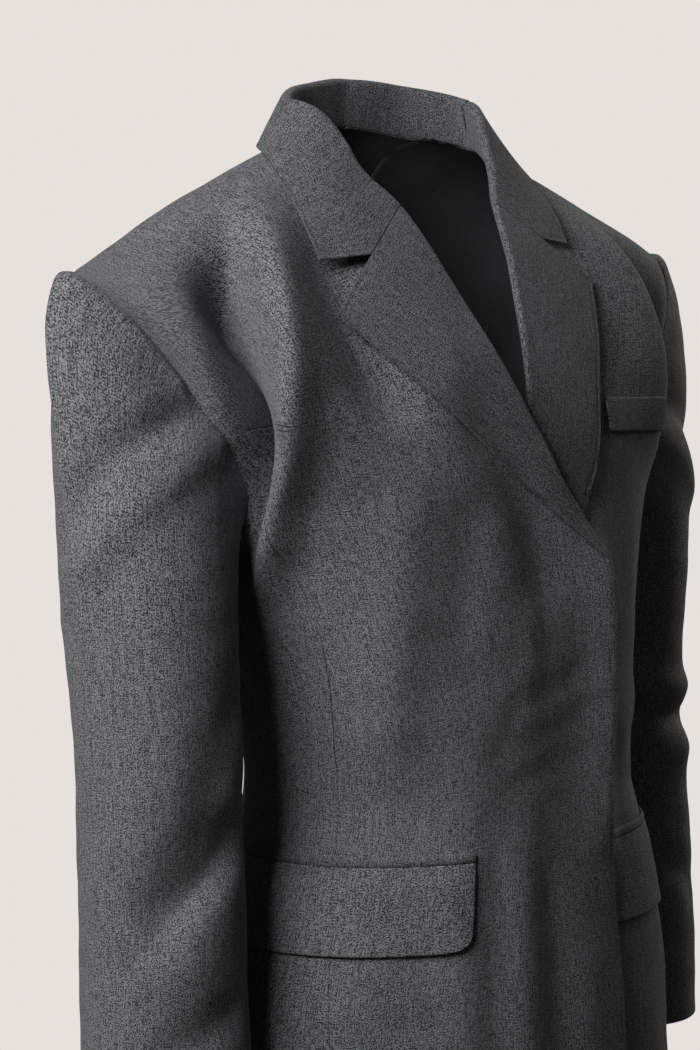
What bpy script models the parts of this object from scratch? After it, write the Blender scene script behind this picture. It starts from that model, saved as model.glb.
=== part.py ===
"""Single breasted blazer, worn: hollow cloth walls that meet at shared seam lines.

The body is one smooth form. Below the bust line it is a stack of rings, and above it the rings close
into a dome whose crest is the shoulder seam. A point of it has an angle, counted from the garment's side
(-90 degrees at the centre front, +90 at the centre back), and a level: metres above the bust line,
up to RISE at the shoulder seam. Each panel is a patch of this form between seam lines. A sleeve is a
tube that starts on the armhole, and the lapels, collar, pockets and flaps are laid over the panels.
The wearer's right is -X, the front is -Y, and the origin is the middle of the neck on the shoulder line.
"""

import bmesh
import bpy
import numpy as np
from mathutils import Vector

# Cloth, metres
WALL = 0.002
TURNED_WALL = 0.0026
TRIM_WALL = 0.0018
SEAM_GAP = 0.0003
ARMHOLE_GAP = 0.0007
RIM_ORDER = (0.11, 0.37, 1.0)

# Driving sizes of the body, metres
BUST_Z = -0.230
HEM_Z = -0.780
RISE = 0.240
NECK_HALF = 0.090
SHOULDER_HALF = 0.274
SHOULDER_BASE_Z = -0.006
SHOULDER_DROP = 0.084
SHOULDER_CURVE = 1.3
SHOULDER_SLOPE = 0.55
SHOULDER_SQUARENESS = 3.1
HEM_LEVEL = HEM_Z - BUST_Z

# Roundness of the dome above the bust line: 1 is a straight slope, 2 an ellipse
DOME_FRONT = 1.4
DOME_SIDE = 1.8
DOME_BACK = 2.8

RING_COLUMNS = ("z", "centre_x", "half_width", "side_y", "front_y", "back_y", "squareness")
RINGS = (
    (-0.780, 0.007, 0.200, -0.045, -0.198, 0.106, 2.3),
    (-0.670, 0.008, 0.193, -0.045, -0.192, 0.101, 2.3),
    (-0.600, 0.010, 0.187, -0.046, -0.187, 0.095, 2.3),
    (-0.530, 0.012, 0.168, -0.050, -0.180, 0.076, 2.3),
    (-0.470, 0.012, 0.152, -0.052, -0.173, 0.058, 2.3),
    (-0.400, 0.009, 0.155, -0.050, -0.171, 0.063, 2.35),
    (-0.345, 0.006, 0.165, -0.045, -0.168, 0.074, 2.4),
    (-0.230, 0.000, 0.192, -0.035, -0.153, 0.090, 2.6),
)

# Seams: angle in degrees and level of points along each
FRONT_SEAM = (
    (-40, -0.550),
    (-33, -0.360),
    (-28, -0.270),
    (-28.5, -0.190),
    (-28.5, -0.110),
    (-20, -0.037),
    (-17, 0.030),
)
BACK_SEAM = ((38, -0.55), (39, -0.37), (40, -0.24), (38, -0.12), (35, -0.03), (34, 0.03))
ARMHOLE_FRONT = ((0, 0.24), (-4.5, 0.20), (-9, 0.14), (-12.5, 0.08), (-17, 0.03))
ARMHOLE_BOTTOM = ((-17, 0.03), (-13, -0.03), (3, -0.055), (20, -0.03), (34, 0.03))
ARMHOLE_BACK = ((34, 0.03), (33, 0.08), (26, 0.14), (14, 0.20), (0, 0.24))

# Arc length for one radian of a body ring, and radius that a sleeve's arc is measured on
BODY_ARC = 0.17
SLEEVE_ARC = 0.06

# Rows and columns of the panels
SEAM_ROWS = 15
ARMHOLE_ROWS = 9
EDGE_ROWS = 10
ROLL_ROWS = 10
NECK_ROWS = 4
FRONT_COLUMNS = 12
BACK_SHOULDER_COLUMNS = 12
BACK_NECK_COLUMNS = 4
SIDE_COLUMNS = 6
ARMHOLE_CELLS = 2 * ARMHOLE_ROWS + SIDE_COLUMNS

# Front edge, roll line, neck and lapel edge of each side: x and z of points on the body
RIGHT_EDGE = (
    (0.076, -0.780),
    (0.071, -0.650),
    (0.065, -0.520),
    (0.062, -0.440),
    (0.067, -0.370),
    (0.072, -0.315),
)
LEFT_EDGE = ((-0.035, -0.780), (-0.035, -0.520), (-0.035, -0.440), (-0.033, -0.370), (-0.028, -0.315))
RIGHT_ROLL = (
    (0.072, -0.315),
    (0.052, -0.276),
    (0.034, -0.246),
    (0.009, -0.196),
    (-0.021, -0.128),
    (-0.044, -0.050),
)
LEFT_ROLL = ((-0.028, -0.315), (-0.004, -0.260), (0.018, -0.190), (0.034, -0.120), (0.053, -0.050))
RIGHT_NECK = ((-0.044, -0.050), (-0.070, -0.026), (-0.090, 0.0))
LEFT_NECK = ((0.053, -0.050), (0.073, -0.026), (0.090, 0.0))
RIGHT_NOTCH = (-0.084, -0.082)
LEFT_NOTCH = (0.082, -0.075)
RIGHT_LAPEL_EDGE = (
    (0.078, -0.319),
    (0.050, -0.297),
    (0.015, -0.248),
    (-0.022, -0.216),
    (-0.078, -0.172),
    (-0.128, -0.120),
)
LEFT_LAPEL_EDGE = (
    (-0.020, -0.320),
    (0.025, -0.300),
    (0.050, -0.275),
    (0.072, -0.235),
    (0.086, -0.190),
    (0.100, -0.150),
    (0.117, -0.105),
)

# The right front closes over the left front and its lapel
OVERLAP_LIFT = 0.0069
OVERLAP_START_X = -0.100
OVERLAP_FULL_X = -0.045
OVERLAP_TOP_Z = -0.095
OVERLAP_FULL_Z = -0.165

# Rolled edges: radius of the fold and height of the turned cloth's free edge over the panel
LAPEL_ROLL = 0.0026
HIDDEN_ROLL = 0.0017
LAPEL_REST = 0.0045
HIDDEN_REST = 0.0029
ROLL_CELLS = 4
FALL_CELLS = 8
NOTCH_CELLS = 4

# Collar: a row for each section, from the gorge (0) round to the centre back (1)
COLLAR_COLUMNS = ("along", "stand", "lean", "roll", "rest")
COLLAR = (
    (0.00, 0.0010, 0, 0.0026, 0.0045),
    (0.25, 0.0120, 30, 0.0034, 0.0045),
    (0.50, 0.0290, 52, 0.0040, 0.0060),
    (0.75, 0.0330, 56, 0.0040, 0.0060),
    (1.00, 0.0310, 58, 0.0040, 0.0046),
)
RIGHT_COLLAR_EDGE = ((-0.125, -0.083), (-0.122, -0.047), (-0.109, 0.0))
LEFT_COLLAR_EDGE = ((0.109, -0.079), (0.114, -0.047), (0.109, 0.0))
COLLAR_BACK_EDGE = ((0.109, 0.0), (0.092, 0.023), (0.056, 0.044), (0.0, 0.054))
NECKLINE_BACK = ((0.090, 0.0), (0.078, 0.018), (0.045, 0.034), (0.0, 0.040))

# Sleeve tubes: centre, and radii sideways and to the front, at each height
SLEEVE_COLUMNS = ("z", "out_x", "y", "side_radius", "front_radius")
RIGHT_SLEEVE = (
    (-0.700, 0.254, -0.075, 0.060, 0.059),
    (-0.600, 0.250, -0.066, 0.058, 0.058),
    (-0.500, 0.246, -0.058, 0.057, 0.058),
    (-0.400, 0.243, -0.050, 0.057, 0.061),
    (-0.330, 0.243, -0.041, 0.059, 0.064),
)
LEFT_SLEEVE = (
    (-0.700, 0.268, 0.010, 0.057, 0.057),
    (-0.600, 0.264, 0.012, 0.058, 0.058),
    (-0.500, 0.259, 0.017, 0.058, 0.059),
    (-0.400, 0.250, 0.015, 0.058, 0.061),
    (-0.330, 0.246, 0.008, 0.059, 0.063),
)
HEAD_ROWS = 6
TUBE_ROWS = 11
HEAD_FLARE = 0.5
HEAD_START = 0.62
HEAD_BACK = 0.35
HEAD_END = 0.95
ARMHOLE_TILT = 0.36
FOREARM_SEAM = 11
ELBOW_SEAM = 16

# Largest folds of the body: soft ridges (+) and troughs (-) along a line of the form
BODY_FOLD_COLUMNS = ("side", "angle_0", "level_0", "angle_1", "level_1", "width", "height")
BODY_FOLDS = (
    (-1, -52, 0.150, -33, -0.030, 0.016, 0.009),
    (-1, -36, 0.130, -23, 0.000, 0.013, -0.006),
    (1, -52, 0.150, -35, -0.020, 0.016, 0.007),
    (1, -36, 0.130, -25, 0.000, 0.013, -0.005),
    (-1, 60, 0.060, 50, -0.060, 0.018, 0.005),
    (1, 58, 0.070, 48, -0.050, 0.018, 0.005),
)

# Largest folds of the sleeves: angle 0 is the outer side of the arm and 90 its front
SLEEVE_FOLD_COLUMNS = ("side", "angle_0", "z_0", "angle_1", "z_1", "width", "height")
SLEEVE_FOLDS = (
    (-1, 95, -0.192, -5, -0.272, 0.015, -0.007),
    (-1, 98, -0.222, -8, -0.304, 0.016, 0.004),
    (-1, 86, -0.417, 42, -0.448, 0.014, -0.004),
    (-1, 112, -0.480, 52, -0.522, 0.014, -0.004),
    (-1, 250, -0.400, 200, -0.470, 0.015, -0.005),
    (1, 30, -0.452, 135, -0.440, 0.013, -0.008),
    (1, 25, -0.425, 135, -0.412, 0.015, 0.004),
    (1, 35, -0.485, 130, -0.478, 0.016, 0.004),
    (1, 95, -0.200, 10, -0.262, 0.015, -0.005),
)

# Pockets: x and z of the ends on the body, and heights of the strips
POCKET_REST = 0.0009
POCKET_FRONT = (0.058, -0.5045)
POCKET_BACK_ANGLE = 10
POCKET_BACK_LEVEL = -0.2790
JET_HEIGHT = 0.007
FLAP_HEIGHT = 0.061
FLAP_CORNER = 0.012
FLAP_COLUMNS = 12
FLAP_DROPS = (0.0, 0.40, 0.82, 0.90, 0.96, 1.0)
WELT_START = (0.096, -0.186)
WELT_END = (0.170, -0.190)
WELT_HEIGHT = 0.025
WELT_COLUMNS = 6

# Hidden button between the fronts
BUTTON_X = 0.030
BUTTON_Z = -0.430
BUTTON_RADIUS = 0.009
BUTTON_SIDES = 24

# Colours, linear
WOOL = (0.075, 0.078, 0.084, 1.0)
FACING = (0.068, 0.071, 0.077, 1.0)
SLEEVE_WOOL = (0.082, 0.085, 0.091, 1.0)
TRIM = (0.060, 0.063, 0.068, 1.0)
HORN = (0.030, 0.027, 0.025, 1.0)


def column(table, names, name):
    """One named column of a table."""
    return np.array([row[names.index(name)] for row in table], dtype=float)


def smooth(at, knots, values):
    """Cubic curve through (knots, values), with slopes taken from the neighbouring knots."""
    knots = np.asarray(knots, dtype=float)
    values = np.asarray(values, dtype=float)
    slopes = np.gradient(values, knots)
    at = np.clip(at, knots[0], knots[-1])
    i = np.clip(np.searchsorted(knots, at, side="right") - 1, 0, len(knots) - 2)
    step = knots[i + 1] - knots[i]
    t = (at - knots[i]) / step
    start = (1 + 2 * t) * (1 - t) ** 2 * values[i] + t * (1 - t) ** 2 * step * slopes[i]
    end = t * t * (3 - 2 * t) * values[i + 1] + t * t * (t - 1) * step * slopes[i + 1]
    return start + end


def ease(t):
    """0 below 0 and 1 above 1, with a smooth step between."""
    t = np.clip(t, 0.0, 1.0)
    return t * t * (3 - 2 * t)


def unit(vectors):
    """The vectors, each one unit long."""
    return vectors / np.linalg.norm(vectors, axis=-1, keepdims=True)


def shoulder_z(x):
    """Height of the shoulder seam at x: it falls faster towards the tip."""
    spread = SHOULDER_HALF ** SHOULDER_CURVE - NECK_HALF ** SHOULDER_CURVE
    fall = SHOULDER_DROP / spread
    return SHOULDER_BASE_Z + fall * (NECK_HALF ** SHOULDER_CURVE - np.abs(x) ** SHOULDER_CURVE)


def dome(angle):
    """Roundness of the dome in the direction of an angle."""
    end = np.where(np.sin(angle) < 0, DOME_FRONT, DOME_BACK)
    return DOME_SIDE + (end - DOME_SIDE) * np.sin(angle) ** 2


def section(angle, level):
    """The horizontal section at a level: centre, half width, side line, reach, squareness, lift, sink."""
    z = BUST_Z + np.minimum(level, 0.0)
    heights = column(RINGS, RING_COLUMNS, "z")
    centre, half, side_y, front_y, back_y, square = (
        smooth(z, heights, column(RINGS, RING_COLUMNS, name)) for name in RING_COLUMNS[1:]
    )
    turn = np.clip(level / RISE, 0.0, 1.0) * np.pi / 2
    lift = np.sin(turn) ** (2 / dome(angle))
    sink = np.maximum(np.cos(turn), 0.0) ** (2 / dome(angle))
    half = half + (SHOULDER_HALF - half) * lift
    square = square + (SHOULDER_SQUARENESS - square) * lift
    reach = np.where(np.sin(angle) < 0, side_y - front_y, back_y - side_y)
    return centre * (1 - lift), half, side_y, reach, square, lift, sink


def form(angle, level, side):
    """Point of the smooth body. In a ring, x and y follow cos and sin of the angle over the radius of a
    squared circle, and above the bust line the height follows sin, and the depth cos, of the level."""
    centre, half, side_y, reach, square, lift, sink = section(angle, level)
    c = np.cos(angle)
    s = np.sin(angle)
    radius = (np.abs(c) ** square + np.abs(s) ** square) ** (-1 / square)
    x = centre + side * half * radius * c
    y = (side_y + reach * radius * s) * sink
    z = BUST_Z + np.minimum(level, 0.0) + (shoulder_z(x) - BUST_Z) * lift
    return np.stack(np.broadcast_arrays(x, y, z), axis=-1)


def normal(surface, angle, level, side):
    """Unit normal that points out of the garment, from small steps in angle and level."""
    turn = 1e-4
    climb = 1e-5
    along = surface(angle + turn, level, side) - surface(angle - turn, level, side)
    up = surface(angle, np.minimum(level + climb, RISE), side) - surface(angle, level - climb, side)
    return side * unit(np.cross(along, up))


def ridge(across, up, ends, width, height):
    """A soft ridge along a segment: height times exp(-(distance / width) squared)."""
    a0, u0, a1, u1 = ends
    run = np.array([a1 - a0, u1 - u0])
    t = ((across - a0) * run[0] + (up - u0) * run[1]) / (run @ run)
    t = np.clip(t, 0.0, 1.0)
    gap = (across - a0 - t * run[0]) ** 2 + (up - u0 - t * run[1]) ** 2
    return height * np.exp(-gap / width ** 2)


def folds_on_body(angle, level, side):
    """Sum of the body's ridges and troughs, over the angle's arc length and the level."""
    arc = BODY_ARC * angle
    total = np.zeros(np.broadcast(angle, level).shape)
    for fold_side, a0, l0, a1, l1, width, height in BODY_FOLDS:
        if fold_side == side:
            ends = (BODY_ARC * np.radians(a0), l0, BODY_ARC * np.radians(a1), l1)
            total = total + ridge(arc, level, ends, width, height)
    return total


def cloth(angle, level, side):
    """Point of the body's middle surface: the form, moved out by its folds. Where the right front lies
    over the left front it is lifted by OVERLAP_LIFT as well."""
    points = form(angle, level, side)
    out = normal(form, angle, level, side)
    move = folds_on_body(angle, level, side)
    if side < 0:
        over = ease((points[..., 0] - OVERLAP_START_X) / (OVERLAP_FULL_X - OVERLAP_START_X))
        low = ease((points[..., 2] - OVERLAP_TOP_Z) / (OVERLAP_FULL_Z - OVERLAP_TOP_Z))
        front = np.where(np.sin(angle) < 0, 1.0, 0.0)
        move = move + OVERLAP_LIFT * over * low * front
    return points + out * move[..., None]


def locate(x, side, sheet, z=None, y=None):
    """Angle and level of the body's point at x on the front (-1) or back (+1) sheet, at height z or depth y."""
    x = np.asarray(x, dtype=float)
    angle = np.full(x.shape, sheet * np.pi / 2)
    level = np.zeros(x.shape)
    for _ in range(40):
        centre, half, side_y, reach, square, lift, sink = section(angle, level)
        across = np.clip((x - centre) / (side * half), -0.99999, 0.99999)
        deep = (1 - np.abs(across) ** square) ** (1 / square)
        angle = sheet * np.arctan2(deep, across)
        power = dome(angle) / 2
        if z is not None:
            share = np.clip((z - BUST_Z) / (shoulder_z(x) - BUST_Z), 0.0, 1.0)
            turn = np.arcsin(share ** power)
        else:
            share = np.clip(np.asarray(y) / (side_y + sheet * reach * deep), 0.0, 1.0)
            turn = np.arccos(share ** power)
        below = np.zeros(x.shape) if z is None else np.minimum(np.asarray(z) - BUST_Z, 0.0)
        level = np.where(turn > 0, turn / (np.pi / 2) * RISE, below)
    return angle, level


def spaced(points_at, knots, count):
    """count + 1 angle and level pairs at even steps of length along a smooth line through the knots."""
    knots = np.asarray(knots, dtype=float)
    t = np.linspace(0, len(knots) - 1, 40 * (len(knots) - 1) + 1)
    pairs = np.stack([smooth(t, np.arange(len(knots)), knots[:, k]) for k in range(2)], axis=-1)
    path = points_at(pairs[:, 0], pairs[:, 1])
    length = np.concatenate([[0.0], np.cumsum(np.linalg.norm(np.diff(path, axis=0), axis=1))])
    even = np.interp(np.linspace(0, length[-1], count + 1), length, t)
    return np.stack([smooth(even, np.arange(len(knots)), knots[:, k]) for k in range(2)], axis=-1)


def seam_line(table, side, count):
    """Even steps along a seam given by angle in degrees and level."""
    knots = [(np.radians(angle), level) for angle, level in table]
    return spaced(lambda a, l: cloth(a, l, side), knots, count)


def point_line(table, side, sheet, count, depth=False):
    """Even steps along a line given by x and z, or by x and y where depth is set."""
    xs = np.array([row[0] for row in table])
    other = np.array([row[1] for row in table])
    angle, level = locate(xs, side, sheet, **({"y": other} if depth else {"z": other}))
    return spaced(lambda a, l: cloth(a, l, side), np.stack([angle, level], axis=-1), count)


def join(*lines):
    """Lines end to end, with the shared points once."""
    return np.concatenate([lines[0]] + [line[1:] for line in lines[1:]])


def blend_patch(bottom, top, left, right, steps=None):
    """Coons patch of angle and level between four lines: rows go from bottom to top."""
    rows = len(left)
    columns = len(bottom)
    v = np.linspace(0, 1, rows)[:, None, None]
    u = (np.linspace(0, 1, columns) if steps is None else steps)[None, :, None]
    across = (1 - u) * left[:, None] + u * right[:, None]
    upward = (1 - v) * bottom[None] + v * top[None]
    corners = (1 - v) * ((1 - u) * bottom[0] + u * bottom[-1]) + v * ((1 - u) * top[0] + u * top[-1])
    return across + upward - corners


def straight(start, end, count):
    """Even steps from one pair to another."""
    return start + (end - start) * np.linspace(0, 1, count + 1)[:, None]


def tangents(points):
    """Unit direction along a line of points."""
    return unit(np.gradient(points, axis=0))


def seam_shift(points, normals, inside):
    """Half a seam gap, towards the inside of the piece, square to the seam and in its surface."""
    across = unit(np.cross(normals, tangents(points)))
    sign = np.sign(np.sum(across * (inside - points), axis=-1, keepdims=True))
    return across * sign * SEAM_GAP / 2


def armhole_line(side):
    """The armhole from the shoulder tip down the front, under the arm and up the back."""
    front = seam_line(ARMHOLE_FRONT, side, ARMHOLE_ROWS)
    bottom = seam_line(ARMHOLE_BOTTOM, side, SIDE_COLUMNS)
    back = seam_line(ARMHOLE_BACK, side, ARMHOLE_ROWS)
    return join(front, bottom, back)[:-1]


def armhole_frame(side):
    """Points of the armhole, the sleeve's direction out of each, the normal and direction of the seam, and
    how far the sleeve's head stands out, which is more at the back."""
    line = armhole_line(side)
    points = cloth(line[:, 0], line[:, 1], side)
    normals = normal(cloth, line[:, 0], line[:, 1], side)
    normals[0] = unit(np.array([side * SHOULDER_SLOPE, 0.0, 1.0]))
    around = unit(np.roll(points, -1, axis=0) - np.roll(points, 1, axis=0))
    out = unit(np.array([side * 1.0, 0.0, -ARMHOLE_TILT]))
    radial = points - points.mean(axis=0)
    radial = unit(radial - (radial @ out)[:, None] * out)
    leave = unit(out + HEAD_FLARE * radial)
    sleeve_normal = np.cross(around, leave)
    sleeve_normal = unit(sleeve_normal * np.sign(np.sum(sleeve_normal * radial, axis=1, keepdims=True)))
    mitre = normals + sleeve_normal
    mitre = unit(mitre - np.sum(mitre * around, axis=1, keepdims=True) * around)
    across = np.cross(around, mitre)
    across = unit(across * np.sign(np.sum(across * leave, axis=1, keepdims=True)))
    fullness = HEAD_START * (1 + HEAD_BACK * radial[:, 1:2])
    return points, leave, mitre, across, fullness


def wall(name, points, normals, thickness, material, shift=None):
    """Closed wall: the grid moved half a thickness each way along its normals, and joined by a rim. A rim's
    triangles share the diagonal that starts outside at its lower end, so two rims at a seam stay parallel."""
    rows, columns = points.shape[:2]
    if shift is not None:
        points = points + shift
    faces_out = points + normals * (thickness / 2)
    faces_in = points - normals * (thickness / 2)
    vertices = np.concatenate([faces_out.reshape(-1, 3), faces_in.reshape(-1, 3)])
    index = np.arange(rows * columns).reshape(rows, columns)
    corners = (index[:-1, :-1], index[:-1, 1:], index[1:, 1:], index[1:, :-1])
    outer = np.stack(corners, axis=-1).reshape(-1, 4)
    inner = outer[:, ::-1] + rows * columns
    border = np.concatenate([index[0, :-1], index[:-1, -1], index[-1, :0:-1], index[:0:-1, 0]])
    following = np.roll(border, -1)
    rank = points.reshape(-1, 3) @ np.array(RIM_ORDER)
    climbs = rank[border] < rank[following]
    first_in = border + rows * columns
    next_in = following + rows * columns
    low = np.stack([following, border, np.where(climbs, next_in, first_in)], axis=-1)
    high = np.stack([np.where(climbs, border, following), first_in, next_in], axis=-1)
    mesh = bpy.data.meshes.new(name)
    faces = np.concatenate([outer, inner]).tolist() + np.concatenate([low, high]).tolist()
    mesh.from_pydata(vertices.tolist(), [], faces)
    tidy = bmesh.new()
    tidy.from_mesh(mesh)
    bmesh.ops.recalc_face_normals(tidy, faces=tidy.faces)
    tidy.to_mesh(mesh)
    tidy.free()
    mesh.shade_smooth()
    mesh.set_sharp_from_angle(angle=np.radians(40))
    mesh.materials.append(material)
    piece = bpy.data.objects.new(name, mesh)
    collection.objects.link(piece)
    return piece


def finish(name, colour, roughness):
    """A Principled material."""
    material = bpy.data.materials.new(name)
    material.use_nodes = True
    shader = material.node_tree.nodes["Principled BSDF"]
    shader.inputs["Base Color"].default_value = colour
    shader.inputs["Roughness"].default_value = roughness
    shader.inputs["Metallic"].default_value = 0.0
    return material


def front_lines(side):
    """Outer and inner boundary of a front panel, from the hem to the shoulder seam."""
    edge, roll, neck = (RIGHT_EDGE, RIGHT_ROLL, RIGHT_NECK) if side < 0 else (LEFT_EDGE, LEFT_ROLL, LEFT_NECK)
    outer = join(seam_line(FRONT_SEAM, side, SEAM_ROWS), seam_line(ARMHOLE_FRONT, side, ARMHOLE_ROWS)[::-1])
    inner = join(
        point_line(edge, side, -1, EDGE_ROWS),
        point_line(roll, side, -1, ROLL_ROWS),
        point_line(neck, side, -1, NECK_ROWS),
    )
    return outer, inner


def mark_armhole(side, points, normals, shift, rows, frame_rows, column_index):
    """Gives a panel's armhole edge the shared seam frame and its half of the gap."""
    seam_points, _, mitre, across, _ = armhole_frame(side)
    normals[rows, column_index] = mitre[frame_rows]
    shift[rows, column_index] -= across[frame_rows] * ARMHOLE_GAP / 2
    points[rows, column_index] = seam_points[frame_rows]


def shoulder_frame(points, side):
    """Normal of the shoulder seam: square to it and upright in its own plane."""
    along = tangents(points)
    up = np.cross(along, np.array([0.0, 1.0, 0.0]))
    return unit(up * np.sign(up[:, 2:3]))


def front_panel(side):
    """Front: princess seam and armhole outside, front edge, roll line and neck inside."""
    outer, inner = front_lines(side)
    bottom = straight(outer[0], inner[0], FRONT_COLUMNS)
    top = straight(outer[-1], inner[-1], FRONT_COLUMNS)
    pairs = blend_patch(bottom, top, outer, inner)
    points = cloth(pairs[..., 0], pairs[..., 1], side)
    normals = normal(cloth, pairs[..., 0], pairs[..., 1], side)
    shift = np.zeros_like(points)
    seam = slice(0, SEAM_ROWS + 1)
    shift[seam, 0] += seam_shift(points[seam, 0], normals[seam, 0], points[seam, 1])
    normals[-1] = shoulder_frame(points[-1], side)
    shift[-1, :, 1] -= SEAM_GAP / 2
    frame_rows = np.arange(ARMHOLE_ROWS, -1, -1)
    rows = np.arange(SEAM_ROWS, SEAM_ROWS + ARMHOLE_ROWS + 1)
    mark_armhole(side, points, normals, shift, rows, frame_rows, 0)
    _, mitre, across, _ = neck_frame(side)
    first = EDGE_ROWS
    shift[first:, -1] -= across[: len(points) - first] * SEAM_GAP / 2
    normals[first:, -1] = mitre[: len(points) - first]
    return points, normals, shift


def neck_frame(side):
    """Roll line, front neck and back neck: points, shared seam normals and direction into the opening."""
    _, inner = front_lines(side)
    back = point_line(scaled(NECKLINE_BACK, side), side, 1, BACK_NECK_COLUMNS, depth=True)
    front_part = inner[EDGE_ROWS:]
    points = np.concatenate([cloth(*front_part.T, side), cloth(*back[1:].T, side)])
    normals = np.concatenate([normal(cloth, *front_part.T, side), normal(cloth, *back[1:].T, side)])
    shoulder = len(front_part) - 1
    normals[shoulder] = unit(np.array([side * 0.27, 0.0, 0.96]))
    along = tangents(points)
    along[-1] = (-side, 0.0, 0.0)
    normals[-1, 0] = 0.0
    normals[-1] = unit(normals[-1])
    across = unit(np.cross(normals, along))
    centre = np.array([0.0, -0.01, 0.0])
    flat = (centre - points) * np.array([1.0, 1.0, 0.3])
    across = across * np.sign(np.sum(across * flat, axis=1, keepdims=True))
    lean = np.zeros(len(points))
    steps = np.linspace(0, 1, NECK_ROWS + BACK_NECK_COLUMNS + 1)
    table_along = column(COLLAR, COLLAR_COLUMNS, "along")
    lean[ROLL_ROWS:] = np.radians(smooth(steps, table_along, column(COLLAR, COLLAR_COLUMNS, "lean")))
    half = lean[:, None] / 2
    mitre = np.cos(half) * normals - np.sin(half) * across
    seam = np.cos(half) * across + np.sin(half) * normals
    return points, mitre, seam, along


def scaled(table, side):
    """A table of the left side, with x turned to the given side."""
    return tuple((side * row[0], row[1]) for row in table)


def side_panel(side):
    """Side: between the princess seam and the back seam, up to the armhole's lowest part."""
    left = seam_line(FRONT_SEAM, side, SEAM_ROWS)
    right = seam_line(BACK_SEAM, side, SEAM_ROWS)
    top = seam_line(ARMHOLE_BOTTOM, side, SIDE_COLUMNS)
    bottom = straight(left[0], right[0], SIDE_COLUMNS)
    pairs = blend_patch(bottom, top, left, right)
    points = cloth(pairs[..., 0], pairs[..., 1], side)
    normals = normal(cloth, pairs[..., 0], pairs[..., 1], side)
    shift = np.zeros_like(points)
    shift[:, 0] += seam_shift(points[:, 0], normals[:, 0], points[:, 1])
    shift[:, -1] += seam_shift(points[:, -1], normals[:, -1], points[:, -2])
    frame_rows = np.arange(ARMHOLE_ROWS, ARMHOLE_ROWS + SIDE_COLUMNS + 1)
    mark_armhole(side, points, normals, shift, -1, frame_rows, slice(None))
    return points, normals, shift


def back_panel(side):
    """Back: back seam and armhole outside, centre back seam inside, shoulder seam and neck on top."""
    outer = join(seam_line(BACK_SEAM, side, SEAM_ROWS), seam_line(ARMHOLE_BACK, side, ARMHOLE_ROWS))
    neck = point_line(scaled(NECKLINE_BACK, side), side, 1, BACK_NECK_COLUMNS, depth=True)
    shoulder = straight(outer[-1], neck[0], BACK_SHOULDER_COLUMNS)
    top = join(shoulder, neck)
    count = BACK_SHOULDER_COLUMNS + BACK_NECK_COLUMNS
    centre = np.array([np.pi / 2, HEM_LEVEL])
    inner = straight(centre, neck[-1], SEAM_ROWS + ARMHOLE_ROWS)
    bottom = straight(outer[0], inner[0], count)
    pairs = blend_patch(bottom, top, outer, inner)
    points = cloth(pairs[..., 0], pairs[..., 1], side)
    normals = normal(cloth, pairs[..., 0], pairs[..., 1], side)
    shift = np.zeros_like(points)
    seam = slice(0, SEAM_ROWS + 1)
    shift[seam, 0] += seam_shift(points[seam, 0], normals[seam, 0], points[seam, 1])
    normals[:, -1, 0] = 0.0
    normals[:, -1] = unit(normals[:, -1])
    shift[:, -1, 0] += side * SEAM_GAP / 2
    part = slice(0, BACK_SHOULDER_COLUMNS + 1)
    normals[-1, part] = shoulder_frame(points[-1, part], side)
    shift[-1, part, 1] += SEAM_GAP / 2
    rows = np.arange(SEAM_ROWS, SEAM_ROWS + ARMHOLE_ROWS + 1)
    frame_rows = np.arange(ARMHOLE_ROWS + SIDE_COLUMNS, ARMHOLE_CELLS + 1) % ARMHOLE_CELLS
    mark_armhole(side, points, normals, shift, rows, frame_rows, 0)
    _, mitre, across, _ = neck_frame(side)
    start = ROLL_ROWS + NECK_ROWS
    normals[-1, BACK_SHOULDER_COLUMNS:] = mitre[start:]
    shift[-1, BACK_SHOULDER_COLUMNS:] -= across[start:] * SEAM_GAP / 2
    return points, normals, shift


def sleeve(side):
    """Tube from the armhole to the cuff: a curved head, and rings of the table below it."""
    table = RIGHT_SLEEVE if side < 0 else LEFT_SLEEVE
    start, leave, mitre, across, fullness = armhole_frame(side)
    closed = np.concatenate([start, start[:1]])
    length = np.concatenate([[0.0], np.cumsum(np.linalg.norm(np.diff(closed, axis=0), axis=1))])
    turn = 2 * np.pi * length[:-1] / length[-1]
    heights = column(table, SLEEVE_COLUMNS, "z")

    def ring(z):
        """Points at height z (rows) and each turn (columns), from the table's centre and radii."""
        z = z[:, None]
        out_x, y, side_radius, front_radius = (
            smooth(z, heights, column(table, SLEEVE_COLUMNS, name)) for name in SLEEVE_COLUMNS[1:]
        )
        x = side * (out_x + side_radius * np.cos(turn))
        return np.stack(np.broadcast_arrays(x, y - front_radius * np.sin(turn), z), axis=-1)

    end = ring(heights[-1:])[0]
    chord = np.linalg.norm(end - start, axis=1)[:, None]
    t = np.linspace(0, 1, HEAD_ROWS + 1)[:, None, None]
    down = np.array([0.0, 0.0, -1.0])
    head = (
        (1 + 2 * t) * (1 - t) ** 2 * start
        + t * (1 - t) ** 2 * leave * chord * fullness
        + t * t * (3 - 2 * t) * end
        + t * t * (t - 1) * down * chord * HEAD_END
    )
    tube = ring(np.linspace(heights[-1], heights[0], TUBE_ROWS + 1))
    points = np.concatenate([head, tube[1:]])
    normals = tube_normals(points)
    move = folds_on_sleeve(points, turn, side)
    move[0] = 0.0
    points = points + normals * move[..., None]
    normals = tube_normals(points)
    shift = np.zeros_like(points)
    normals[0] = mitre
    shift[0] = across * ARMHOLE_GAP / 2
    return points, normals, shift


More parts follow.
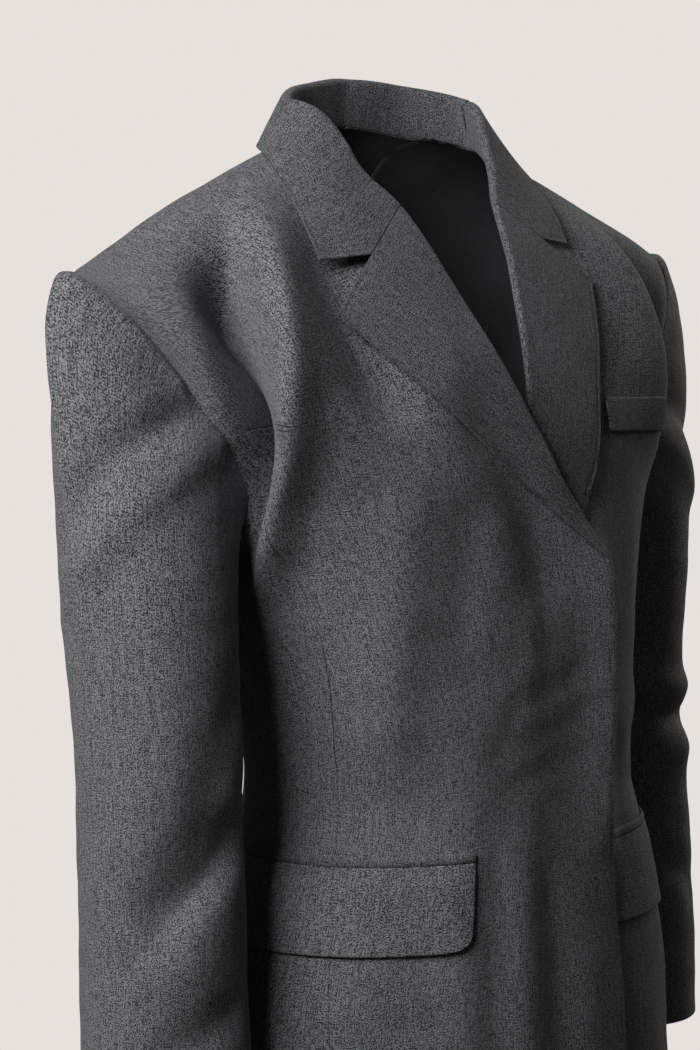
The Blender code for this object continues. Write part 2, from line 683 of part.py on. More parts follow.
def tube_normals(points):
    """Normals of a closed tube of rows and columns, from steps along and around it."""
    along = np.gradient(points, axis=0)
    around = np.roll(points, -1, axis=1) - np.roll(points, 1, axis=1)
    normals = unit(np.cross(along, around))
    outward = points - points.mean(axis=1, keepdims=True)
    return normals * np.sign(np.sum(normals * outward, axis=-1).mean())


def folds_on_sleeve(points, turn, side):
    """Sum of a sleeve's ridges and troughs, over the arc round the arm and the height."""
    total = np.zeros(points.shape[:2])
    arc = SLEEVE_ARC * np.broadcast_to(turn, total.shape)
    for fold_side, a0, z0, a1, z1, width, height in SLEEVE_FOLDS:
        if fold_side == side:
            ends = (SLEEVE_ARC * np.radians(a0), z0, SLEEVE_ARC * np.radians(a1), z1)
            for lap in (-2 * np.pi * SLEEVE_ARC, 0.0):
                total = total + ridge(arc + lap, points[..., 2], ends, width, height)
    return total


def sleeve_piece(side, first, last):
    """Columns first to last of a sleeve, counted round the arm, with their seams drawn in."""
    points, normals, shift = sleeve(side)
    columns = np.arange(first, last + 1) % ARMHOLE_CELLS
    points, normals, shift = points[:, columns], normals[:, columns], shift[:, columns]
    shift[:, 0] += seam_shift(points[:, 0], normals[:, 0], points[:, 1])
    shift[:, -1] += seam_shift(points[:, -1], normals[:, -1], points[:, -2])
    return points, normals, shift


def turned_rows(side, pairs, start, mitre, seam, stands, rolls, rests, leans):
    """Rows of cloth turned over an edge. Each row leaves the edge along the seam direction, rises by its
    stand, goes round a circle of its roll radius, and lies over the body's points of pairs at a height
    that falls from the roll to its rest."""
    stands, rolls, rests, leans = (np.asarray(value)[:, None] for value in (stands, rolls, rests, leans))
    half = leans / 2
    across = np.cos(half) * seam - np.sin(half) * mitre
    out = np.cos(half) * mitre + np.sin(half) * seam
    leave = np.cos(leans) * across + np.sin(leans) * out
    face = np.sin(leans) * across - np.cos(leans) * out
    base = start
    centre = base + stands * leave - rolls * face
    under = cloth(pairs[..., 0], pairs[..., 1], side)
    lift = normal(cloth, pairs[..., 0], pairs[..., 1], side)
    target = under[:, NOTCH_CELLS] + lift[:, NOTCH_CELLS] * rests - centre
    on_face = np.sum(target * face, axis=1)
    on_leave = np.sum(target * leave, axis=1)
    reach = np.hypot(on_face, on_leave)
    bearing = np.mod(np.arctan2(on_leave, on_face), 2 * np.pi)
    last = bearing - np.arccos(np.clip(rolls[:, 0] / reach, -1, 1))
    turn = np.linspace(0, 1, ROLL_CELLS + 1)[None, :, None] * last[:, None, None]
    spoke = np.cos(turn) * face[:, None] + np.sin(turn) * leave[:, None]
    arc = centre[:, None] + rolls[:, None] * spoke
    t = np.linspace(0, 1, pairs.shape[1])[None, :, None]
    rest = under + lift * rests[:, None]
    fall = rest + (arc[:, -1:] - rest[:, :1]) * (1 - t)
    points = np.concatenate([base[:, None], arc, fall[:, 1:]], axis=1)
    return points, face


def grid_normals(points):
    """Normals of an open grid, from steps along its rows and columns."""
    return unit(np.cross(np.gradient(points, axis=0), np.gradient(points, axis=1)))


def lapel_pairs(side):
    """Angle and level of the body's points under a lapel: rows from the gorge down to the break."""
    roll_table, edge_table = (RIGHT_ROLL, RIGHT_LAPEL_EDGE) if side < 0 else (LEFT_ROLL, LEFT_LAPEL_EDGE)
    notch = RIGHT_NOTCH if side < 0 else LEFT_NOTCH
    roll = point_line(roll_table, side, -1, ROLL_ROWS)[::-1]
    edge = point_line(edge_table, side, -1, ROLL_ROWS)[::-1]
    corner = np.array(locate(np.array(notch[0]), side, -1, z=np.array(notch[1])))
    gorge = straight(roll[0], corner, NOTCH_CELLS)
    top = join(gorge, straight(corner, edge[0], FALL_CELLS - NOTCH_CELLS))
    bottom = straight(roll[-1], edge[-1], FALL_CELLS)
    return blend_patch(top, bottom, roll, edge)


def lapel(side):
    """Notch lapel: front cloth and facing, turned over the roll line."""
    pairs = lapel_pairs(side)
    points, mitre, seam, along = neck_frame(side)
    start, mitre, seam = (value[: ROLL_ROWS + 1][::-1] for value in (points, mitre, seam))
    rows = np.linspace(0, 1, ROLL_ROWS + 1)
    if side < 0:
        rolls = LAPEL_ROLL + 0 * rows
        rests = LAPEL_REST + (HIDDEN_REST - LAPEL_REST) * ease((rows - 0.6) / 0.4)
    else:
        rolls = LAPEL_ROLL + (HIDDEN_ROLL - LAPEL_ROLL) * ease((rows - 0.2) / 0.3)
        rests = LAPEL_REST + (HIDDEN_REST - LAPEL_REST) * ease((rows - 0.5) / 0.25)
    stands = COLLAR[0][1] + 0 * rows
    grid, face = turned_rows(side, pairs, start, mitre, seam, stands, rolls, rests, 0 * rows)
    points, normals, shift = finish_turned(grid, face, mitre, seam)
    gorge_end(points, normals, shift, 0, 1, along[ROLL_ROWS])
    return points, normals, shift


def finish_turned(grid, face, mitre, seam):
    """Normals of a turned grid, with its first column on the shared seam and half the gap beside it."""
    normals = grid_normals(grid)
    sign = np.sign(np.sum(normals[:, 0] * face, axis=-1).mean())
    normals = normals * -sign
    normals[:, 0] = mitre
    shift = np.zeros_like(grid)
    shift[:, 0] += seam * SEAM_GAP / 2
    return grid, normals, shift


def gorge_end(points, normals, shift, row, inside_row, along):
    """Gives the end row of a turned piece the gorge seam's shared normals, and its half of the gap."""
    part = slice(1, 2 + ROLL_CELLS + NOTCH_CELLS)
    line = points[row, part]
    shared = unit(np.cross(np.broadcast_to(along, line.shape), tangents(line)))
    sign = np.sign(np.sum(shared * normals[row, part], axis=-1, keepdims=True).mean())
    normals[row, part] = shared * sign
    whole = slice(0, 2 + ROLL_CELLS + NOTCH_CELLS)
    shift[row, whole] += seam_shift(points[row, whole], normals[row, whole], points[inside_row, whole])


def collar_half(side):
    """Half of the collar, from the gorge to the centre back: pairs under the fall, and seam frame."""
    points, mitre, seam, direction = neck_frame(side)
    start, mitre, seam = points[ROLL_ROWS:], mitre[ROLL_ROWS:], seam[ROLL_ROWS:]
    inner = front_lines(side)[1]
    neck_front = inner[EDGE_ROWS + ROLL_ROWS:]
    neck_back = point_line(scaled(NECKLINE_BACK, side), side, 1, BACK_NECK_COLUMNS, depth=True)
    edge_table = RIGHT_COLLAR_EDGE if side < 0 else LEFT_COLLAR_EDGE
    edge_front = point_line(edge_table, side, -1, NECK_ROWS)
    edge_back = point_line(scaled(COLLAR_BACK_EDGE, side), side, 1, BACK_NECK_COLUMNS, depth=True)
    notch = RIGHT_NOTCH if side < 0 else LEFT_NOTCH
    corner = np.array(locate(np.array(notch[0]), side, -1, z=np.array(notch[1])))
    rows = []
    for neck_point, edge_point in zip(neck_front, edge_front):
        rows.append(straight(neck_point, edge_point, FALL_CELLS))
    first = join(
        straight(neck_front[0], corner, NOTCH_CELLS),
        straight(corner, edge_front[0], FALL_CELLS - NOTCH_CELLS),
    )
    bend = first - rows[0]
    for step, row in enumerate(rows):
        row += bend * (1 - step / NECK_ROWS) ** 2
    for neck_point, edge_point in zip(neck_back[1:], edge_back[1:]):
        rows.append(straight(neck_point, edge_point, FALL_CELLS))
    steps = np.linspace(0, 1, NECK_ROWS + BACK_NECK_COLUMNS + 1)
    along = column(COLLAR, COLLAR_COLUMNS, "along")
    stands, leans, rolls, rests = (
        smooth(steps, along, column(COLLAR, COLLAR_COLUMNS, name)) for name in COLLAR_COLUMNS[1:]
    )
    grid, face = turned_rows(
        side, np.stack(rows), start, mitre, seam, stands, rolls, rests, np.radians(leans)
    )
    return grid, face, mitre, seam, direction[ROLL_ROWS]


def collar():
    """Whole collar: the right half, and the left half joined to it at the centre back."""
    *right, right_along = collar_half(-1)
    *left, left_along = collar_half(1)
    joined = (np.concatenate([a, b[-2::-1]]) for a, b in zip(right, left))
    points, normals, shift = finish_turned(*joined)
    gorge_end(points, normals, shift, 0, 1, right_along)
    gorge_end(points, normals, shift, -1, -2, left_along)
    return points, normals, shift


def strip(side, pairs, height):
    """A strip of cloth laid on the body: its points are the body's, moved out."""
    points = cloth(pairs[..., 0], pairs[..., 1], side)
    normals = normal(cloth, pairs[..., 0], pairs[..., 1], side)
    return points + normals * height, normals


def pocket_line(side):
    """Top line of the hip pocket, from its front end round to the side: angle and level."""
    x, z = POCKET_FRONT
    front = np.array(locate(np.array(side * x), side, -1, z=np.array(z)))
    back = np.array([np.radians(POCKET_BACK_ANGLE), POCKET_BACK_LEVEL])
    return straight(front, back, FLAP_COLUMNS)


def pocket(side, name, jet_material, flap_material):
    """Jet over the pocket mouth, and the flap that hangs under it with a rounded front corner."""
    line = pocket_line(side)
    height = WALL / 2 + POCKET_REST + TRIM_WALL / 2
    rise = np.linspace(JET_HEIGHT, 0.0, 2)[:, None]
    pairs = np.stack([np.stack([line[:, 0], line[:, 1] + up[0]], axis=-1) for up in rise])
    points, normals = strip(side, pairs, height)
    wall(name + "_pocket_jet", points, normals, TRIM_WALL, jet_material)
    drop = SEAM_GAP + (FLAP_HEIGHT - SEAM_GAP) * np.array(FLAP_DROPS)
    steps = np.linspace(0, 1, FLAP_COLUMNS + 1)
    path = cloth(line[:, 0], line[:, 1], side)
    width = np.linalg.norm(np.diff(path, axis=0), axis=1).sum()
    low = (drop - (FLAP_HEIGHT - FLAP_CORNER)) / FLAP_CORNER
    inset = FLAP_CORNER * (1 - np.sqrt(1 - np.clip(low, 0, 1) ** 2)) / width
    rows = []
    for down, cut in zip(drop, inset):
        part = cut + (1 - cut) * steps
        angle = np.interp(part, steps, line[:, 0])
        rows.append(np.stack([angle, np.interp(part, steps, line[:, 1]) - down], axis=-1))
    points, normals = strip(side, np.stack(rows), height)
    wall(name + "_pocket_flap", points, normals, TRIM_WALL, flap_material)


def chest_welt(material):
    """Welt of the breast pocket on the wearer's left."""
    top = point_line((WELT_START, WELT_END), 1, -1, WELT_COLUMNS)
    lower = ((WELT_START[0], WELT_START[1] - WELT_HEIGHT), (WELT_END[0], WELT_END[1] - WELT_HEIGHT))
    bottom = point_line(lower, 1, -1, WELT_COLUMNS)
    points, normals = strip(1, np.stack([top, bottom]), WALL / 2 + POCKET_REST + TRIM_WALL / 2)
    wall("chest_welt", points, normals, TRIM_WALL, material)


def front_button(material):
    """Flat hidden button that fills the space between the two fronts."""
    angle, level = locate(np.array(BUTTON_X), 1, -1, z=np.array(BUTTON_Z))
    base = cloth(angle, level, 1)
    out = normal(cloth, angle, level, 1)
    low = WALL / 2 + SEAM_GAP
    high = OVERLAP_LIFT - WALL / 2 - SEAM_GAP
    mesh = bpy.data.meshes.new("front_button")
    shape = bmesh.new()
    bmesh.ops.create_cone(
        shape, cap_ends=True, segments=BUTTON_SIDES, radius1=BUTTON_RADIUS, radius2=BUTTON_RADIUS,
        depth=high - low - SEAM_GAP,
    )
    shape.to_mesh(mesh)
    shape.free()
    mesh.materials.append(material)
    button = bpy.data.objects.new("front_button", mesh)
    button.location = base + out * (high + low) / 2
    button.rotation_mode = "QUATERNION"
    button.rotation_quaternion = Vector(out).to_track_quat("Z", "Y")
    collection.objects.link(button)


for old in list(bpy.data.objects):
    bpy.data.objects.remove(old)
collection = bpy.data.collections.new("single_breasted_blazer")
bpy.context.scene.collection.children.link(collection)

wool = finish("wool", WOOL, 0.85)
facing = finish("facing_wool", FACING, 0.85)
sleeve_wool = finish("sleeve_wool", SLEEVE_WOOL, 0.85)
trim = finish("trim_wool", TRIM, 0.85)
horn = finish("horn", HORN, 0.4)

for side, name in ((-1, "right"), (1, "left")):
    for piece, build in (("front", front_panel), ("side_panel", side_panel), ("back", back_panel)):
        points, normals, shift = build(side)
        wall(name + "_" + piece, points, normals, WALL, wool, shift)
    points, normals, shift = sleeve_piece(side, ELBOW_SEAM, ARMHOLE_CELLS + FOREARM_SEAM)
    wall(name + "_upper_sleeve", points, normals, WALL, sleeve_wool, shift)
    points, normals, shift = sleeve_piece(side, FOREARM_SEAM, ELBOW_SEAM)
    wall(name + "_under_sleeve", points, normals, WALL, sleeve_wool, shift)
    points, normals, shift = lapel(side)
    wall(name + "_lapel", points, normals, TURNED_WALL, facing, shift)
    pocket(side, name, trim, trim)

points, normals, shift = collar()
wall("collar", points, normals, TURNED_WALL, facing, shift)
chest_welt(trim)
front_button(horn)
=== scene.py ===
"""Looks of a worn single breasted blazer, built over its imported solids.

Every piece of cloth is a thin closed shell on its solid's form. The wearer's right is -X, the front is -Y.
A point of the body has an angle round the side (-90 degrees at the centre front, +90 at the centre back)
and a level, metres above the bust line. A point of a sleeve has a turn round the arm and a row down it.
"""

import bpy
import numpy as np
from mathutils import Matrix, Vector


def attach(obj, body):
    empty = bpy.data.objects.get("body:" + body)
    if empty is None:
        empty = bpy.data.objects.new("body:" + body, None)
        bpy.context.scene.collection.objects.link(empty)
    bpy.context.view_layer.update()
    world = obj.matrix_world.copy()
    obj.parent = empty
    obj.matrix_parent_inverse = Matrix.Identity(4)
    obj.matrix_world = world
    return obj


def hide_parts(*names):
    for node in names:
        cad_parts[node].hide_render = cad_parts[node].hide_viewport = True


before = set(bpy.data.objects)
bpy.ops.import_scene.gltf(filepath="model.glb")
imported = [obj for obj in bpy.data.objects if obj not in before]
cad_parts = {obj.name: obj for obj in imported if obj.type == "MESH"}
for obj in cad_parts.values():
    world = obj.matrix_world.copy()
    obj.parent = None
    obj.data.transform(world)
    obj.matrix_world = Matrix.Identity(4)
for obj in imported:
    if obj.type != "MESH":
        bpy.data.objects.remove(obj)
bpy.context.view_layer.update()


# ---- Wool ------------------------------------------------------------------------------------------------
# The cloth is a mid grey worsted woven from mixed light and dark yarns. Slubs run along the warp, fewer run
# across it, and the surface has a fine salt and pepper grain with a dry, faint sheen.

def feed(tree, made, **values):
    """Gives a shader node its settings, and its inputs by name or number (key in_NAME), set or linked."""
    for key, value in values.items():
        if not key.startswith("in_"):
            setattr(made, key, value)
            continue
        name = key[3:].replace("_", " ")
        socket = made.inputs[int(name)] if name.isdigit() else made.inputs[name]
        if isinstance(value, bpy.types.NodeSocket):
            tree.links.new(value, socket)
        else:
            socket.default_value = value
    return made


def node(tree, kind, **values):
    """A new shader node of a kind, with its settings and inputs."""
    return feed(tree, tree.nodes.new(kind), **values)


def math_node(tree, operation, a, b, clamp=False):
    """Output of one Math node."""
    made = node(tree, "ShaderNodeMath", operation=operation, use_clamp=clamp, in_0=a, in_1=b)
    return made.outputs[0]


def stretched_noise(tree, vector, across, along, detail):
    """Noise over cloth coordinates in metres, with cells of the given width and length."""
    scaled = node(tree, "ShaderNodeMapping", in_Vector=vector, in_Scale=(1 / across, 1 / along, 1.0))
    made = node(
        tree, "ShaderNodeTexNoise", in_Vector=scaled.outputs[0], in_Scale=1.0, in_Detail=detail,
        in_Roughness=0.55,
    )
    return made.outputs[0]


def worsted_group():
    """Node group of the weave. Tone is the yarns' lightness round 0.5, and Height their relief: the sum of
    warp slubs, weft slubs, grain and slow clouds, each stretched noise over the cloth coordinates."""
    group = bpy.data.node_groups.new("worsted", "ShaderNodeTree")
    for name, way, kind in (
        ("Cloth", "INPUT", "Vector"), ("Slubs", "INPUT", "Float"), ("Grain", "INPUT", "Float"),
        ("Tone", "OUTPUT", "Float"), ("Height", "OUTPUT", "Float"),
    ):
        group.interface.new_socket(name, in_out=way, socket_type="NodeSocket" + kind)
    cloth_at, slubs, grain = node(group, "NodeGroupInput").outputs[:3]

    def layer(across, along, detail, gain):
        """Stretched noise less a half, times a gain."""
        noise = stretched_noise(group, cloth_at, across, along, detail)
        return math_node(group, "MULTIPLY", math_node(group, "SUBTRACT", noise, 0.5), gain)

    warp = layer(0.0009, 0.0060, 2.0, 1.9)
    long_warp = layer(0.0015, 0.034, 2.0, 1.1)
    weft = layer(0.0070, 0.0009, 2.0, 1.3)
    pepper = layer(0.0009, 0.0010, 1.0, 4.2)
    cloud = layer(0.045, 0.060, 2.0, 0.14)
    yarns = math_node(group, "ADD", math_node(group, "ADD", warp, long_warp), weft)
    yarns = math_node(group, "MULTIPLY", yarns, slubs)
    grains = math_node(group, "MULTIPLY", pepper, grain)
    total = math_node(group, "ADD", math_node(group, "ADD", yarns, grains), cloud)
    tone = math_node(group, "ADD", total, 0.47, clamp=True)
    height = math_node(group, "ADD", math_node(group, "MULTIPLY", yarns, 0.5), grains)
    node(group, "NodeGroupOutput", in_Tone=tone, in_Height=height)
    return group


worsted = worsted_group()


def blank(name):
    """A new material, with its node tree and its shader."""
    material = bpy.data.materials.new(name)
    material.use_nodes = True
    return material, material.node_tree, material.node_tree.nodes["Principled BSDF"]


def wool(name, dark, light, sheen=0.12, slubs=1.0, grain=1.0):
    """Matte wool: the weave's tone picks between a dark and a light yarn, and its height is the bump."""
    material, tree, shader = blank(name)
    place = node(tree, "ShaderNodeUVMap", uv_map="cloth").outputs[0]
    weave = node(tree, "ShaderNodeGroup", node_tree=worsted, in_Cloth=place, in_Slubs=slubs, in_Grain=grain)
    yarn = node(
        tree, "ShaderNodeMix", data_type="RGBA", in_Factor=weave.outputs["Tone"], in_6=(*dark, 1.0),
        in_7=(*light, 1.0),
    )
    bump = node(
        tree, "ShaderNodeBump", in_Strength=0.8, in_Distance=0.00022, in_Height=weave.outputs["Height"],
    )
    feed(
        tree, shader, in_Base_Color=yarn.outputs[2], in_Normal=bump.outputs[0], in_Roughness=0.82,
        in_Specular_IOR_Level=0.28, in_Sheen_Weight=sheen, in_Sheen_Roughness=0.55,
        in_Sheen_Tint=(0.80, 0.82, 0.88, 1.0),
    )
    return material


body_wool = wool("body_wool", (0.016, 0.0165, 0.018), (0.245, 0.247, 0.262))


# ---- Fronts ----------------------------------------------------------------------------------------------
# The two forepieces: worsted over a soft canvas, cut on the straight grain, from the princess seam to the
# front edge. The right one wraps wide over the left, and a padded chest breaks into a fold by each armpit.

SIDES = ((-1, "right"), (1, "left"))
NECK_HALF = 0.090
SHOULDER_HALF = 0.274
SHOULDER_TOP = -0.006
SHOULDER_FALL = 0.084
SHOULDER_POWER = 1.3
SHOULDER_SQUARENESS = 3.1
BUST_Z = -0.230
RISE = 0.240
DOME_FRONT, DOME_SIDE, DOME_BACK = 1.4, 1.8, 2.8
# the bend at the bust line is eased from this level to where the shoulder has this share of its rise
BEND_LOW = -0.030
BEND_RISE = 0.17
RING_COLUMNS = ("z", "centre_x", "half_width", "side_y", "front_y", "back_y", "squareness")
RINGS = (
    (-0.780, 0.007, 0.200, -0.045, -0.198, 0.106, 2.3),
    (-0.670, 0.008, 0.193, -0.045, -0.192, 0.101, 2.3),
    (-0.600, 0.010, 0.187, -0.046, -0.187, 0.095, 2.3),
    (-0.530, 0.012, 0.168, -0.050, -0.180, 0.076, 2.3),
    (-0.470, 0.012, 0.152, -0.052, -0.173, 0.058, 2.3),
    (-0.400, 0.009, 0.155, -0.050, -0.171, 0.063, 2.35),
    (-0.345, 0.006, 0.165, -0.045, -0.168, 0.074, 2.4),
    (-0.230, 0.000, 0.192, -0.035, -0.153, 0.090, 2.6),
)


def column(table, names, name):
    """One named column of a table."""
    return np.array([row[names.index(name)] for row in table], dtype=float)


def cubic(t, start, leave, end, arrive):
    """Cubic curve for t from 0 to 1 between two values, with a slope at each."""
    first = (1 + 2 * t) * (1 - t) ** 2 * start + t * (1 - t) ** 2 * leave
    return first + t * t * (3 - 2 * t) * end + t * t * (t - 1) * arrive


def smooth(at, knots, values):
    """Cubic curve through (knots, values), with slopes taken from the neighbouring knots."""
    knots, values = np.asarray(knots, dtype=float), np.asarray(values, dtype=float)
    slopes = np.gradient(values, knots)
    at = np.clip(at, knots[0], knots[-1])
    i = np.clip(np.searchsorted(knots, at, side="right") - 1, 0, len(knots) - 2)
    step = knots[i + 1] - knots[i]
    return cubic((at - knots[i]) / step, values[i], step * slopes[i], values[i + 1], step * slopes[i + 1])


def ease(t):
    """0 below 0 and 1 above 1, with a smooth step between."""
    t = np.clip(t, 0.0, 1.0)
    return t * t * (3 - 2 * t)


def unit(vectors):
    """The vectors, each one unit long."""
    return vectors / np.maximum(np.linalg.norm(vectors, axis=-1, keepdims=True), 1e-12)


def run_length(points):
    """Length along a line of points from its start, or down each column of a grid from its first row."""
    steps = np.linalg.norm(np.diff(points, axis=0), axis=-1)
    return np.concatenate([np.zeros((1, *steps.shape[1:])), np.cumsum(steps, axis=0)])


def shoulder_z(x):
    """Height of the shoulder seam at x: it falls with a power of x, so faster towards the tip."""
    near, far = NECK_HALF ** SHOULDER_POWER, SHOULDER_HALF ** SHOULDER_POWER
    return SHOULDER_TOP + SHOULDER_FALL / (far - near) * (near - np.abs(x) ** SHOULDER_POWER)


def dome(angle):
    """Roundness of the body above the bust line: 1 is a straight slope and 2 an ellipse."""
    return DOME_SIDE + (np.where(np.sin(angle) < 0, DOME_FRONT, DOME_BACK) - DOME_SIDE) * np.sin(angle) ** 2


def section(angle, level):
    """The horizontal section at a level: centre, half width, side line, reach, squareness, lift, sink."""
    z = BUST_Z + np.minimum(level, 0.0)
    heights = column(RINGS, RING_COLUMNS, "z")
    centre, half, side_y, front_y, back_y, square = (
        smooth(z, heights, column(RINGS, RING_COLUMNS, name)) for name in RING_COLUMNS[1:]
    )
    turn = np.clip(level / RISE, 0.0, 1.0) * np.pi / 2
    lift = np.sin(turn) ** (2 / dome(angle))
    sink = np.maximum(np.cos(turn), 0.0) ** (2 / dome(angle))
    half = half + (SHOULDER_HALF - half) * lift
    square = square + (SHOULDER_SQUARENESS - square) * lift
    reach = np.where(np.sin(angle) < 0, side_y - front_y, back_y - side_y)
    return centre * (1 - lift), half, side_y, reach, square, lift, sink


def body(angle, level, side):
    """Point of the body. In a ring, x and y follow cos and sin of the angle over the radius of a squared
    circle, and above the bust line the height follows sin, and the depth cos, of the level."""
    centre, half, side_y, reach, square, lift, sink = section(angle, level)
    c, s = np.cos(angle), np.sin(angle)
    radius = (np.abs(c) ** square + np.abs(s) ** square) ** (-1 / square)
    x = centre + side * half * radius * c
    y = (side_y + reach * radius * s) * sink
    z = BUST_Z + np.minimum(level, 0.0) + (shoulder_z(x) - BUST_Z) * lift
    return np.stack(np.broadcast_arrays(x, y, z), axis=-1)


def form(angle, level, side):
    """The body with its bend at the bust line eased: a cubic curve in the level joins a line 30 mm below the
    bust to one about 35 mm above it, with the body's own slopes at both."""
    angle, level = np.broadcast_arrays(np.asarray(angle, dtype=float), np.asarray(level, dtype=float))
    points = body(angle, level, side)
    top = np.arcsin(BEND_RISE ** (dome(angle) / 2)) / (np.pi / 2) * RISE
    near = (level > BEND_LOW) & (level < top)
    angle, high, low, step = angle[near], top[near], np.full(near.sum(), BEND_LOW), 1e-4
    span = (high - low)[:, None]
    leave, arrive = (
        span * ((body(angle, at + step, side) - body(angle, at - step, side)) / (2 * step))
        for at in (low, high)
    )
    t = (level[near] - low)[:, None] / span
    points[near] = cubic(t, body(angle, low, side), leave, body(angle, high, side), arrive)
    return points


def normal(surface, angle, level, side):
    """Unit normal that points out of the garment, from small steps in angle and level."""
    along = surface(angle + 1e-3, level, side) - surface(angle - 1e-3, level, side)
    up = surface(angle, np.minimum(level + 2e-4, RISE), side) - surface(angle, level - 2e-4, side)
    return side * unit(np.cross(along, up))


FOLD_FADE = 0.3


def bell(across, up, line, before, after, height):
    """One soft fold: a bell across a line of knots, of one width on its left and another on its right, that
    grows and fades along the line. The distance is to the nearest segment. Widths and height are in mm."""
    line = np.asarray(line, dtype=float)
    steps = np.linalg.norm(np.diff(line, axis=0), axis=1)
    starts = run_length(line)
    best = np.full(np.broadcast(across, up).shape, 1e9)
    signed, run = np.zeros_like(best), np.zeros_like(best)
    for (a0, u0), (a1, u1), step, start in zip(line[:-1], line[1:], steps, starts):
        da, du = (a1 - a0) / step, (u1 - u0) / step
        t = np.clip((across - a0) * da + (up - u0) * du, 0.0, step)
        ga, gu = across - a0 - t * da, up - u0 - t * du
        gap = np.hypot(ga, gu)
        near = gap < best
        signed = np.where(near, gap * np.sign(ga * -du + gu * da), signed)
        run = np.where(near, (start + t) / starts[-1], run)
        best = np.minimum(best, gap)
    width = np.where(signed > 0, before, after) / 1000
    reach = ease(run / FOLD_FADE + 0.25) * ease((1 - run) / FOLD_FADE + 0.25)
    return height / 1000 * reach * np.exp(-(best / width) ** 2)


SWELL = 0.0007
# folds fade out over this depth at the side line, and lie on both sides if they start this near x = 0
FOLD_TURN = 0.030
SHARED_FOLDS = 70
# front (-1) or back (1), the fold's line in x and z, its widths to the left and right, and its height, in mm
BODY_FOLDS = (
    # right chest: the dip under the lapel
    (-1, ((-112, -60), (-120, -110), (-112, -165), (-92, -200)), 22, 22, -4.5),
    # right front: the dip beside the lapel, the edge that stands off, and the long wave over the waist
    (-1, ((-66, -176), (-36, -205), (-10, -232), (6, -262), (10, -300), (6, -345)), 22, 22, -7.2),
    (-1, ((62, -270), (69, -315), (69, -365), (64, -430), (66, -520)), 14, 22, 12),
    (-1, ((-92, -215), (-98, -270), (-105, -345), (-108, -395), (-104, -455)), 20, 22, 6.2),
    (-1, ((-48, -240), (-54, -290), (-62, -345), (-48, -410)), 16, 16, -3.4),
    # right waist: drags from the fastening
    (-1, ((66, -396), (20, -418), (-18, -424), (-52, -436)), 7, 10, -1.3),
    (-1, ((64, -368), (20, -386), (-18, -394), (-40, -432)), 7, 10, -1.2),
    (-1, ((62, -430), (16, -440), (-40, -462)), 8, 10, -1.4),
    (-1, ((0, -300), (-6, -350), (-14, -405)), 10, 12, 1.4),
    # right skirt: long folds from the waist to the hem
    (-1, ((-18, -478), (-22, -530), (-26, -620), (-30, -775)), 14, 17, 3.2),
    (-1, ((4, -480), (4, -560), (6, -650), (8, -775)), 14, 12, -2.6),
    (-1, ((-40, -470), (-46, -540), (-52, -640), (-54, -775)), 14, 14, -2.4),
    (-1, ((-66, -455), (-74, -540), (-80, -640), (-80, -775)), 18, 22, 3),
    (-1, ((34, -560), (36, -660), (42, -775)), 16, 14, 2.2),
    (-1, ((-120, -580), (-122, -680), (-118, -775)), 20, 22, -3),
    # left chest and waist
    (-1, ((90, -440), (125, -420), (150, -400)), 12, 12, 2.5),
    (-1, ((85, -470), (120, -470), (145, -480)), 10, 12, -2.5),
    (-1, ((110, -600), (116, -690), (118, -775)), 20, 20, 2.8),
    # back: blades, waist, and the skirt's slack
    (1, ((-200, -120), (-186, -170), (-160, -230)), 20, 16, 6),
    (1, ((200, -120), (186, -165), (156, -240)), 16, 20, 6.5),
    (1, ((-110, -430), (-60, -455), (-12, -440)), 12, 14, 3.2),
    (1, ((118, -440), (65, -468), (12, -452)), 12, 14, 3.5),
    (1, ((-100, -480), (-50, -500), (-10, -486)), 12, 12, -3),
    (1, ((100, -496), (56, -512), (10, -498)), 12, 12, -3),
    (1, ((-90, -560), (-96, -660), (-100, -775)), 20, 20, 3.2),
    (1, ((84, -560), (94, -660), (98, -775)), 22, 18, 3.5),
    (1, ((30, -600), (26, -690), (30, -775)), 16, 16, -2.5),
)
CHEST_ARC = 0.19
# side, the fold's line in degrees and level, its widths to the armhole and the front, and its height, in mm
CHEST_FOLDS = (
    # the break of the padded chest and the hollow between it and the armhole
    (-1, ((-60, 195), (-57, 168), (-51, 128), (-45, 82), (-40, 53), (-35.5, 25), (-30, -8),
          (-25, -37), (-19, -62), (-11, -88)), 9, 20, 20),
    (-1, ((-53.5, 170), (-48.5, 138), (-41, 92), (-34.5, 55), (-29.5, 22), (-24, -10), (-17, -40)),
     22, 10, -52),
    (-1, ((-72, 190), (-68, 150), (-65, 110), (-62, 70), (-58, 35)), 20, 24, -7),
    (1, ((-58, 180), (-51, 128), (-45, 82), (-38, 40), (-31, -4), (-24, -40)), 12, 28, 8),
    (1, ((-50, 180), (-43, 132), (-37, 90), (-31, 45), (-24, -5)), 28, 13, -13),
)
# depth over which a hollow of the chest is eased away under the lapels
HOLLOW_SPAN = 0.0010
# how far the right front stands off the left one, and where and over what length it rises, in x and z
WRAP_LIFT = 0.0069
WRAP_X, WRAP_X_SPAN = -0.100, 0.055
WRAP_Z, WRAP_Z_SPAN = -0.095, 0.070


def waves(a, b, size, seed):
    """Slow uneven swell from -1 to 1: products of sines at sizes that don't repeat together."""
    a, b = a / size, b / size
    total = np.sin(1.7 * a + 0.6 * b + seed) * np.cos(1.1 * b - 0.4 * a + 2.3 * seed)
    total = total + 0.6 * np.sin(3.1 * a - 2.3 * b + 1.9 * seed) * np.cos(2.7 * b + 1.3 * a - seed)
    return total / 1.6


